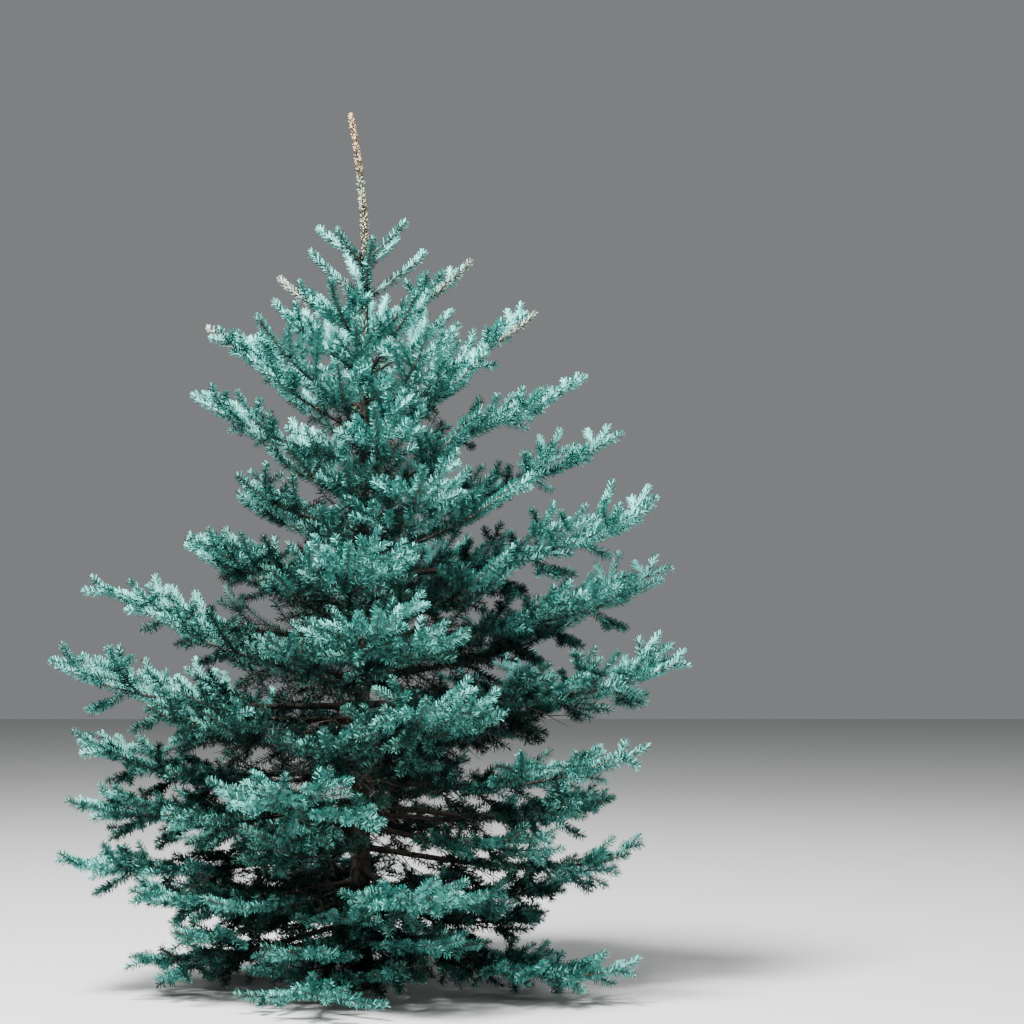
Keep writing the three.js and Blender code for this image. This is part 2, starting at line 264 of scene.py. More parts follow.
@dataclass(frozen=True)
class BoughHabit:
    """How boughs bend and taper.

    Long boughs to the front and the back leave the trunk lower than their tier's others, but not near the
    ground.
    """

    root_slope_drop: float = 0.12
    tip_upturn: float = 0.36
    side_sway: float = 0.05
    reach_spread: float = 0.05
    whorl_drop: float = 0.1
    whorl_stagger: float = 0.013
    drop_reaches: tuple[float, float] = (0.2, 0.6)
    drop_heights: tuple[float, float] = (0.2, 0.9)
    root_radius: float = 0.004
    taper: float = 0.0085
    tip_radius: float = 0.0026


class BoughLine:
    """A bough's centre line: out from the trunk in one smooth rise that turns up at the tip."""

    SAMPLES = 60
    TANGENT_STEP = 1e-3

    def __init__(
        self, tier: Tier, place: int, form: TrunkForm, habit: BoughHabit, random: SeededRandom
    ) -> None:
        """Work the line out as the solids do.

        Args:
            tier: The tier it belongs to.
            place: Which of the tier's bearings it has.
            form: The trunk.
            habit: How boughs bend.
            random: The seeded row, from which its reach and sway are drawn.
        """
        angle = math.radians(tier.bearings[place])
        rightward = (1 + math.cos(angle)) / 2
        self.tier, self.habit = tier, habit
        self.reach = tier.left + (tier.right - tier.left) * rightward
        self.reach *= 1 + habit.reach_spread * random.spread()
        self.sway = habit.side_sway * self.reach * random.spread()
        self.outward = np.array([math.cos(angle), math.sin(angle), 0.0])
        self.sideways = np.cross(UP, self.outward)
        mid_crown = smoothstep(self.reach, *habit.drop_reaches)
        mid_crown *= smoothstep(tier.height, *habit.drop_heights)
        drop = habit.whorl_drop * math.sin(angle) ** 2 * mid_crown
        stagger = habit.whorl_stagger * (1 if place % 2 == 0 else -1)
        self.foot = form.axis(tier.height - drop + stagger)
        steps = np.diff(self.points(np.linspace(0, 1, self.SAMPLES)), axis=0)
        self.length = float(np.linalg.norm(steps, axis=1).sum())

    def points(self, share: Array) -> Array:
        """Points of the line at shares of it.

        Args:
            share: The shares, from 0 at the trunk to 1 at the tip.

        Returns:
            One point a row.
        """
        share = np.atleast_1d(np.asarray(share, dtype=float))
        squared, cubed = share**2, share**3
        root_slope = self.tier.rise - self.habit.root_slope_drop
        tip_slope = self.tier.rise + self.habit.tip_upturn
        climb = (cubed - 2 * squared + share) * root_slope
        climb += (3 * squared - 2 * cubed) * self.tier.rise + (cubed - squared) * tip_slope
        sway = np.sin(share * math.pi) * self.sway
        return (
            self.foot
            + np.outer(share * self.reach, self.outward)
            + np.outer(sway, self.sideways)
            + np.outer(climb * self.reach, UP)
        )

    def point(self, share: float) -> Array:
        """The line's point at a share of it."""
        return self.points(share)[0]

    def tangent(self, share: float) -> Array:
        """The line's direction at a share of it."""
        before, after = max(share - self.TANGENT_STEP, 0.0), min(share + self.TANGENT_STEP, 1.0)
        return unit(self.point(after) - self.point(before))

    def radii(self, share: Array) -> Array:
        """The limb's radii at shares of it."""
        root = self.habit.root_radius + self.habit.taper * self.reach
        return root + (self.habit.tip_radius - root) * share


@dataclass
class Twig:
    """A twig on a quadratic curve from its root to its tip, and what it carries.

    Its needles' freshness, times the painted light of their place, goes from the first number at the root
    to the second at the tip. A closed twig's needles close over its tip.
    """

    start: Array
    bend: Array
    end: Array
    order: int
    tone: Tone = Tone.BLUE
    root_radius: float = 0.003
    tip_radius: float = 0.0013
    fullness: float = 1.0
    needle_length: float = 0.025
    fresh: tuple[float, float] = (1.0, 1.0)
    bud: bool = True
    closed: bool = True
    wood: bool = True

    @classmethod
    def through(cls, start: Array, middle: Array, end: Array, **facts: object) -> "Twig":
        """A stretch of a stem as a twig without wood of its own.

        Args:
            start: Where it starts.
            middle: The point halfway.
            end: Where it ends.
            **facts: What it carries.

        Returns:
            The twig.
        """
        return cls(start, 2 * middle - (start + end) / 2, end, 0, wood=False, **facts)

    @property
    def length(self) -> float:
        """The length of the twig, near enough."""
        return float(np.linalg.norm(self.end - self.start))

    def point(self, share: float) -> Array:
        """The curve's point at a share of it."""
        rest = 1 - share
        return rest * rest * self.start + 2 * rest * share * self.bend + share * share * self.end

    def tangent(self, share: float) -> Array:
        """The curve's direction at a share of it."""
        return unit((1 - share) * (self.bend - self.start) + share * (self.end - self.bend))


@dataclass(frozen=True)
class TintHabit:
    """Which tint the needles of a twig have.

    A sum for frost and painted light grows outward and upward in the crown and drops under a bough, so that
    needles inside, low down and hanging get darker tints as painted shade. Each tint has the sum it starts
    from.
    Most high boughs that point to the sides end in straw, with shorter needles.
    """

    # Far out, the sum gains frosty young growth with painted light; high up it gains painted light from
    # above.
    outward: float = 0.8
    upward: float = 0.72
    lowest: float = 0.35
    shift: float = 0.02
    spread: float = 0.15
    hanging: float = 0.15
    limits: tuple[tuple[float, Tone], ...] = ((1.17, Tone.FROST), (0.92, Tone.BLUE), (0.68, Tone.TEAL))
    straw_above: float = 2.0
    straw_share: float = 0.8
    straw_most_forward: float = 0.75
    straw_needle: float = 0.021


@dataclass(frozen=True)
class DeadTwigHabit:
    """How bare dead twigs stand on the shaded inner part of a bough. Angles are in degrees."""

    on_a_metre: float = 9.0
    below: float = 2.2
    kept_below: float = 1.3
    first: float = 0.04
    past_first_living: float = 0.3
    angle: float = 62.0
    angle_spread: float = 25.0
    climb: float = -0.25
    climb_spread: float = 0.5
    lengths: tuple[float, float] = (0.12, 0.3)
    sag: float = 0.15
    root_radius: float = 0.0018
    thickening: float = 0.006
    tip_radius: float = 0.0011
    forked_from: float = 0.12
    forks: tuple[tuple[float, int], ...] = ((0.4, 1), (0.65, -1))
    fork_width: tuple[float, float] = (0.6, 1.1)
    fork_climb: float = 0.4
    fork_share: float = 0.45


@dataclass(frozen=True)
class TwigHabit:
    """How a bough's foliage branches, from its first twigs down to the last shoots. Angles are in degrees.

    Lists go by order: the twigs on the bough first, then the twigs on those, then the last shoots. A pair
    with a name that ends in lengths holds the least and the most of a random factor of a length.
    """

    station_spacing: float = 0.15
    station_growth: float = 0.09
    first_station: float = 0.03
    terminal: float = 0.14
    terminal_growth: float = 0.04
    earliest_terminal: float = 0.3
    fan_width: float = 0.64
    fan_start: float = -0.08
    fan_full: float = 0.2
    fan_end: float = 1.08
    fan_taper: float = 0.8
    side_angle: float = 48.0
    side_angle_spread: float = 8.0
    side_climb_spread: float = 0.18
    side_stagger: float = 0.3
    side_lengths: tuple[float, float] = (0.9, 1.08)
    rising_climb: float = 0.8
    low_rising_climb: float = 0.3
    rising_share: float = 0.22
    low_crown: float = 1.7
    low_spacing: float = 0.8
    hanging_climb: float = -0.75
    hanging_share: float = 0.15
    low_hanging_share: float = 0.24
    hanging_at_foot: float = 1.15
    hanging_taper: float = 0.75
    hanging_lift: float = 0.3
    hanging_light: float = 0.75
    between_lengths: tuple[float, float] = (0.75, 1.1)
    swing: float = 50.0
    first_steps: tuple[float, ...] = (0.14, 0.11)
    first_step_lengths: tuple[float, float] = (0.9, 1.1)
    steps: tuple[float, ...] = (0.11, 0.09)
    step_lengths: tuple[float, float] = (0.85, 1.15)
    last_child: float = 0.9
    child_share: tuple[float, ...] = (0.92, 0.8)
    child_lengths: tuple[float, float] = (0.8, 1.1)
    longest_child: tuple[float, ...] = (0.165, 0.085)
    small_bough: float = 0.3
    star: tuple[tuple[float, float], ...] = ((38, 0.1), (-38, 0.1), (64, -0.05), (-64, -0.05))
    star_share: float = 0.7
    star_angle_spread: float = 6.0
    star_lengths: tuple[float, float] = (0.85, 1.05)
    child_angle: float = 46.0
    child_angle_spread: float = 8.0
    roll_spread: float = 0.35
    no_top_child: float = 0.6
    top_child: float = 0.62
    shortest: float = 0.075
    longest: float = 0.62
    upturn: tuple[float, ...] = (0.24, 0.06, 0.0)
    low_upturn: tuple[float, ...] = (0.12, -0.14, -0.1)
    low_from: tuple[float, float] = (0.5, 1.7)
    lift_spread: float = 0.1
    droop: float = 0.1
    root_radius: float = 0.0013
    thickening: float = 0.004
    clear_of_ground: float = 0.04
    clear_of_trunk: float = 0.02
    over_the_border: float = 0.1
    tries: tuple[float, ...] = (1.0, 0.82, 0.66, 0.5)
    needled_years: float = 0.75
    clad_after_bare: float = 0.02
    least_clad: float = 0.05
    clad_stretches: int = 3
    clad_fullness: float = 0.7
    tip_fullness: float = 1.2
    full_from: float = 0.5
    fullness: tuple[float, ...] = (0.9, 1.0, 1.0)
    inner_fullness: float = 0.45
    inner_share: float = 0.5
    # Needles pale from each twig's root to its tip: fresher growth, with painted shade nearer the root.
    fresh: tuple[tuple[float, float], ...] = ((0.1, 1.0), (0.35, 1.0), (0.5, 1.0))
    # Painted light rises from the least light inside the crown to 1 far out, and is less under the bough.
    shade: tuple[float, float] = (0.4, 0.9)
    least_light: float = 0.15
    outer_bud: float = 0.8
    outer_bud_share: float = 0.22
    tint: TintHabit = TintHabit()
    dead: DeadTwigHabit = DeadTwigHabit()


class CrownSpace:
    """Where the twigs of each bough may grow."""

    SAMPLES = 25
    MARGIN = 0.01

    def __init__(self, lines: list[BoughLine], form: TrunkForm, habit: TwigHabit) -> None:
        """Sample the lines of the boughs.

        Args:
            lines: The boughs' lines.
            form: The trunk.
            habit: How far twigs keep clear.
        """
        self.samples = np.stack([line.points(np.linspace(0, 1, self.SAMPLES)) for line in lines])
        self.form, self.habit = form, habit
        low, high = (np.array(corner, dtype=float) for corner in CAD_BOX)
        self.low, self.high = low - self.MARGIN * (high - low), high + self.MARGIN * (high - low)
        outer = sorted((tier.height, (tier.right + tier.left) / 2) for tier in TIERS)
        self.heights, self.reaches = zip(*outer)

    def outwardness(self, point: Array) -> float:
        """How far out in the crown a point is, from 0 at the trunk to about 1 at the tips."""
        reach = float(np.interp(point[2], self.heights, self.reaches))
        return math.hypot(*(point - self.form.axis(point[2]))[:2]) / reach

    def holds(self, owner: int, point: Array) -> bool:
        """Whether a point may be the tip of a twig.

        Args:
            owner: The number of the twig's bough.
            point: The point.

        Returns:
            Whether it is clear of the ground and the trunk, inside the tree's reach, and nearer to its own
            bough than to the others, or little further.
        """
        outside = np.any(point < self.low) or np.any(point > self.high)
        if outside or point[2] < self.habit.clear_of_ground:
            return False
        axis = self.form.axis(point[2])
        if math.hypot(*(point - axis)[:2]) < self.form.radius(point[2]) + self.habit.clear_of_trunk:
            return False
        nearest = np.linalg.norm(self.samples - point, axis=2).min(axis=1)
        return bool(nearest[owner] < nearest.min() + self.habit.over_the_border)


class BoughFoliage:
    """All twigs of one bough."""

    def __init__(
        self, line: BoughLine, owner: int, space: CrownSpace, habit: TwigHabit, random: SeededRandom
    ) -> None:
        """Grow the bough's twigs.

        Args:
            line: The bough's line.
            owner: The bough's number.
            space: Where its twigs may grow.
            habit: How they branch.
            random: The seeded row.
        """
        self.line, self.owner, self.space, self.habit, self.random = line, owner, space, habit, random
        self.is_low = line.tier.height < habit.low_crown
        self.highness = smoothstep(line.tier.height, *habit.low_from)
        self.twigs: list[Twig] = []
        self.dead: list[Twig] = []
        self.grow()

    def leaving(self, share: float, angle: float, climb: float) -> Array:
        """A direction off the bough, by the solids' rule.

        Args:
            share: Where on the bough.
            angle: How far it turns from the bough to one side, in degrees.
            climb: How much it climbs or sinks.

        Returns:
            The direction.
        """
        x, y, z = self.line.tangent(share)
        cosine, sine = math.cos(math.radians(angle)), math.sin(math.radians(angle))
        return unit(np.array((x * cosine - y * sine, x * sine + y * cosine, z + climb)))

    def side_length(self, share: float) -> float:
        """How long a side twig is, by the solids' rule.

        Args:
            share: Where on the bough.

        Returns:
            The length.
        """
        habit = self.habit
        bare = self.line.tier.bare
        widening = smoothstep(share, bare + habit.fan_start, bare + habit.fan_full)
        return self.line.reach * habit.fan_width * widening * (habit.fan_end - share) ** habit.fan_taper

    def tone_at(self, point: Array, hanging: bool) -> Tone:
        """The tint of a twig's needles: frosty young growth with painted light far out, painted shade
        inside and below.

        Args:
            point: The twig's tip.
            hanging: Whether it hangs under the bough.

        Returns:
            The tint.
        """
        tint = self.habit.tint
        height = max(point[2] / self.space.form.height, tint.lowest)
        frost_and_light = tint.outward * self.space.outwardness(point) + tint.upward * height + tint.shift
        frost_and_light += tint.spread * self.random.spread()
        # Twigs that hang under the bough get painted shade.
        frost_and_light -= tint.hanging if hanging else 0.0
        for limit, tone in tint.limits:
            if frost_and_light > limit:
                return tone
        return Tone.DEEP_SHADE

    def branch(
        self, start: Array, direction: Array, length: float, order: int, hanging: bool = False
    ) -> None:
        """Grow a twig, as long as fits of the lengths that are tried, and the twigs on it.

        Args:
            start: Its root.
            direction: Where it sets out to.
            length: Its longest length.
            order: 0 for a twig on the bough, 1 for a twig on that, 2 for a last shoot.
            hanging: Whether it belongs to the foliage under the bough.
        """
        habit, random = self.habit, self.random
        upturn = habit.low_upturn[order] + (habit.upturn[order] - habit.low_upturn[order]) * self.highness
        for share in habit.tries:
            reach = min(length, habit.longest) * share
            if reach < habit.shortest:
                return
            lift = upturn * (habit.hanging_lift if hanging else 1) + habit.lift_spread * random.spread()
            end = start + unit(direction + UP * lift) * reach
            if self.space.holds(self.owner, end):
                break
        else:
            return
        outwardness = self.space.outwardness(end)
        inner = outwardness < habit.full_from
        if order and inner and random.share() > habit.inner_share:
            return
        bend = start + unit(direction - UP * habit.droop * (order == 0)) * reach / 2
        twig = Twig(start, bend, end, order, self.tone_at(end, hanging))
        twig.root_radius = habit.root_radius + habit.thickening * reach
        # Painted light: twigs far out keep their pale bloom, those inside and under the bough are darkened
        # as painted shade.
        light = habit.least_light + (1 - habit.least_light) * smoothstep(outwardness, *habit.shade)
        light *= habit.hanging_light if hanging else 1.0
        twig.fresh = tuple(light * fresh for fresh in habit.fresh[order])
        outer = outwardness > habit.outer_bud
        twig.bud = order == 0 or (outer and random.share() < habit.outer_bud_share)
        twig.fullness = habit.inner_fullness if inner else habit.fullness[order]
        self.twigs.append(twig)
        if order < len(habit.steps):
            self.branch_from(twig, hanging)

    def branch_from(self, twig: Twig, hanging: bool) -> None:
        """Grow the twigs on a twig: a pair for each year, and on the first twigs a short one on top too.

        Args:
            twig: The twig.
            hanging: Whether it belongs to the foliage under the bough.
        """
        habit, random, order = self.habit, self.random, twig.order
        distance = min(habit.first_steps[order], twig.length / 2)
        distance *= random.between(*habit.first_step_lengths)
        while distance < habit.last_child * twig.length:
            share = 1 - distance / twig.length
            root, along = twig.point(share), twig.tangent(share)
            across, over = across_and_over(along)
            longest = min(habit.child_share[order] * distance, habit.longest_child[order])
            for side in (1, -1, 0):
                if side == 0 and (order or random.share() < habit.no_top_child):
                    continue
                roll = habit.roll_spread * random.spread() if side else math.pi / 2 * (-1 if hanging else 1)
                angle = math.radians(habit.child_angle + habit.child_angle_spread * random.spread())
                off = across * (side or 1) * math.cos(roll) + over * math.sin(roll)
                length = longest * random.between(*habit.child_lengths) * (1 if side else habit.top_child)
                direction = along * math.cos(angle) + off * math.sin(angle)
                self.branch(root, direction, length, order + 1, hanging)
            distance += habit.steps[order] * random.between(*habit.step_lengths)

    def grow(self) -> None:
        """Grow everything on the bough: twigs from station to station, its tip's star, and dead twigs."""
        habit, line = self.habit, self.line
        first = line.tier.bare + habit.first_station
        terminal = habit.terminal + habit.terminal_growth * line.tier.height
        last = max(habit.earliest_terminal, 1 - terminal / line.length)
        spacing = habit.station_spacing + habit.station_growth * line.reach
        spacing *= line.tier.openness * (habit.low_spacing if self.is_low else 1.0)
        stations = max(1, round((last - first) * line.length / spacing))
        if line.reach > habit.small_bough:
            for i in range(stations + 1):
                share = first + (last - first) * i / stations
                self.add_side_twigs(share, spacing)
                if i < stations:
                    self.add_twigs_between(share, share + (last - first) / 2 / stations)
            self.add_star(last, terminal)
        self.clad_bough(last)
        self.add_dead_twigs(first)

    def add_side_twigs(self, share: float, spacing: float) -> None:
        """Grow a twig to either side, one a little further out than the other.

        Args:
            share: The station's place on the bough.
            spacing: How far apart stations are.
        """
        habit, line, random = self.habit, self.line, self.random
        for side in (1, -1):
            at = share + habit.side_stagger * side * spacing / line.length
            angle = side * (habit.side_angle + habit.side_angle_spread * random.spread())
            direction = self.leaving(at, angle, habit.side_climb_spread * random.spread())
            length = self.side_length(share) * random.between(*habit.side_lengths)
            self.branch(line.point(at), direction, length, 0)

    def add_twigs_between(self, station: float, share: float) -> None:
        """Grow a rising twig and a hanging one between two stations, and low in the crown one more hanging.

        Args:
            station: Where the station before them is on the bough.
            share: Where they are on the bough.
        """
        habit, line, random = self.habit, self.line, self.random
        steepness = habit.low_rising_climb + (1 - habit.low_rising_climb) * self.highness
        rising = (habit.rising_climb * steepness, habit.rising_share)
        hanging = (habit.hanging_climb, habit.low_hanging_share if self.is_low else habit.hanging_share)
        for climb, part in (rising, hanging, hanging) if self.is_low else (rising, hanging):
            direction = self.leaving(share, habit.swing * random.spread(), climb)
            length = part * line.reach * random.between(*habit.between_lengths)
            if climb < 0:
                length *= habit.hanging_at_foot - habit.hanging_taper * station
            self.branch(line.point(share), direction, length, 0, hanging=climb < 0)

    def add_star(self, last: float, terminal: float) -> None:
        """Grow the ring of shoots round the foot of the bough's terminal shoot.

        Args:
            last: Where the terminal shoot starts on the bough.
            terminal: How long it is.
        """
        habit, random = self.habit, self.random
        for angle, climb in habit.star:
            direction = self.leaving(last, angle + habit.star_angle_spread * random.spread(), climb)
            length = habit.star_share * terminal * random.between(*habit.star_lengths)
            self.branch(self.line.point(last), direction, length, 1)

    def clad_bough(self, last: float) -> None:
        """Clad the bough's own line with needles, from the oldest year that still has them to its tip.

        Args:
            last: Where its terminal shoot starts.
        """
        line, habit = self.line, self.habit
        oldest = max(line.tier.bare + habit.clad_after_bare, 1 - habit.needled_years / line.length)
        small = line.reach < habit.small_bough
        start = min(oldest, last - habit.least_clad)
        shares = [*np.linspace(start, last, habit.clad_stretches + 1), 1.0]
        for low, high in zip(shares, shares[1:]):
            terminal = high == 1.0
            twig = Twig.through(*line.points(np.array([low, (low + high) / 2, high])))
            twig.tone = self.tone_at(twig.end, False)
            # Paler towards the tip: fresher needles, with painted shade further in along the bough.
            twig.fresh = (low * low, high * high)
            twig.bud = twig.closed = terminal
            twig.root_radius = float(line.radii(np.array(low)))
            twig.tip_radius = float(line.radii(np.array(high)))
            twig.fullness = habit.tip_fullness if terminal or small else habit.clad_fullness
            if terminal and not small and self.has_straw_tip():
                twig.tone = Tone.STRAW
                twig.needle_length = habit.tint.straw_needle
            self.twigs.append(twig)

    def has_straw_tip(self) -> bool:
        """Whether the bough ends in straw: most of the highest ones that point to the sides do."""
        tint, line = self.habit.tint, self.line
        if line.tier not in TIERS or line.tier.height <= tint.straw_above:
            return False
        return self.random.share() < tint.straw_share and abs(line.outward[1]) < tint.straw_most_forward

    def add_dead_twigs(self, first: float) -> None:
        """Leave bare dead twigs on the shaded inner part of the bough.

        Args:
            first: Where the living twigs start.
        """
        random, line, dead = self.random, self.line, self.habit.dead
        count = round(line.length * dead.on_a_metre) if line.tier.height < dead.below else 0
        for i in range(count):
            share = dead.first + (first + dead.past_first_living) * i / count
            angle = dead.angle * (1 if i % 2 else -1) + dead.angle_spread * random.spread()
            direction = self.leaving(share, angle, dead.climb_spread * random.spread() + dead.climb)
            self.add_dead_twig(line.point(share), direction, random.between(*dead.lengths))

    def add_dead_twig(self, start: Array, direction: Array, length: float) -> None:
        """Add a dead twig with smaller ones on it. High in the crown they are worked out but not kept.

        Args:
            start: Its root.
            direction: Where it sets out to.
            length: How long it is.
        """
        dead = self.habit.dead
        end = start + direction * length - UP * dead.sag * length
        if not self.space.holds(self.owner, end):
            return
        twig = Twig(start, start + direction * length / 2, end, 1)
        twig.root_radius = dead.root_radius + dead.thickening * length
        twig.tip_radius = dead.tip_radius
        if self.line.tier.height < dead.kept_below:
            self.dead.append(twig)
        if length < dead.forked_from:
            return
        across, over = across_and_over(direction)
        for share, side in dead.forks:
            off = direction + side * across * self.random.between(*dead.fork_width)
            off += over * self.random.spread() * dead.fork_climb
            self.add_dead_twig(twig.point(share), unit(off), length * dead.fork_share)


@dataclass
class MeshParts:
    """Vertices and triangles from arrays, gathered for one joined mesh."""

    vertices: list[Array] = field(default_factory=list)
    triangles: list[Array] = field(default_factory=list)
    slots: list[Array] = field(default_factory=list)
    marks: dict[str, list[Array]] = field(default_factory=dict)
    normals: list[Array] = field(default_factory=list)
    count: int = 0

    def add(
        self, vertices: Array, triangles: Array, slots: Array | int = 0, normals: Array | None = None,
        **marks: Array
    ) -> None:
        """Add some triangles.

        Args:
            vertices: One vertex a row.
            triangles: Three vertex numbers a row, counted in the vertices given.
            slots: The material slot of each triangle, or of them all.
            normals: The vertices' own normals. Either all parts of a piece have them or none has.
            **marks: Numbers that each vertex carries for the materials.
        """
        for name, values in marks.items():
            self.marks.setdefault(name, []).append(values.ravel())
        if normals is not None:
            self.normals.append(normals)
        self.vertices.append(vertices.reshape(-1, 3))
        self.triangles.append(triangles.reshape(-1, 3) + self.count)
        self.slots.append(np.broadcast_to(slots, len(self.triangles[-1])))
        self.count += len(self.vertices[-1])

    def piece(self, name: str, materials: Iterable[bpy.types.Material]) -> bpy.types.Object:
        """Make the mesh and its object.

        Args:
            name: The piece's name.
            materials: Its material slots.

        Returns:
            The new object, at the origin.
        """
        vertices = np.concatenate(self.vertices).astype(np.float32)
        triangles = np.concatenate(self.triangles).astype(np.int32)
        mesh = bpy.data.meshes.new(name)
        mesh.vertices.add(len(vertices))
        mesh.vertices.foreach_set("co", vertices.ravel())
        mesh.loops.add(triangles.size)
        mesh.loops.foreach_set("vertex_index", triangles.ravel())
        mesh.polygons.add(len(triangles))
        mesh.polygons.foreach_set("loop_start", np.arange(0, triangles.size, 3, dtype=np.int32))
        for material in materials:
            mesh.materials.append(material)
        mesh.polygons.foreach_set("material_index", np.concatenate(self.slots).astype(np.int32))
        for label, values in self.marks.items():
            mark = mesh.attributes.new(label, "FLOAT", "POINT")
            mark.data.foreach_set("value", np.concatenate(values).astype(np.float32))
        mesh.update(calc_edges=True)
        mesh.validate()
        if self.normals:
            mesh.normals_split_custom_set_from_vertices(np.concatenate(self.normals))
        piece = bpy.data.objects.new(name, mesh)
        bpy.context.collection.objects.link(piece)
        return piece


def tubes(centres: Array, radii: Array, sides: int) -> tuple[Array, Array]:
    """Closed tubes along rows of points.

    Args:
        centres: The points, by tube, ring and axis.
        radii: Each ring's radius, by tube and ring, or each corner's, by tube, ring and side.
        sides: How many sides a tube has.

    Returns:
        The vertices and the triangles.
    """
    count, rings = centres.shape[:2]
    along = unit(np.gradient(centres, axis=1))
    across, over = across_and_over(along)
    angles = np.arange(sides) * 2 * math.pi / sides
    around = np.cos(angles)[:, None] * across[:, :, None] + np.sin(angles)[:, None] * over[:, :, None]
    if radii.ndim == 2:
        radii = radii[:, :, None]
    walls = centres[:, :, None] + around * radii[..., None]
    bulge = np.array([-1, 1])[:, None] * radii[:, [0, -1]].mean(2)[..., None]
    ends = centres[:, [0, -1]] + along[:, [0, -1]] * bulge
    vertices = np.concatenate([walls.reshape(count, -1, 3), ends], axis=1)
    side = np.arange(sides)
    following = (side + 1) % sides
    ring = np.arange(rings - 1)[:, None] * sides
    low, low_next, high, high_next = (ring + x for x in (side, following, side + sides, following + sides))
    wall = np.stack([low, low_next, high_next, low, high_next, high], axis=-1).reshape(-1, 3)
    top = (rings - 1) * sides
    root_cap = np.stack([following, side, np.full(sides, rings * sides)], axis=-1)
    tip_cap = np.stack([top + side, top + following, np.full(sides, rings * sides + 1)], axis=-1)
    one = np.concatenate([wall, root_cap, tip_cap])
    triangles = one[None] + np.arange(count)[:, None, None] * vertices.shape[1]
    return vertices, triangles


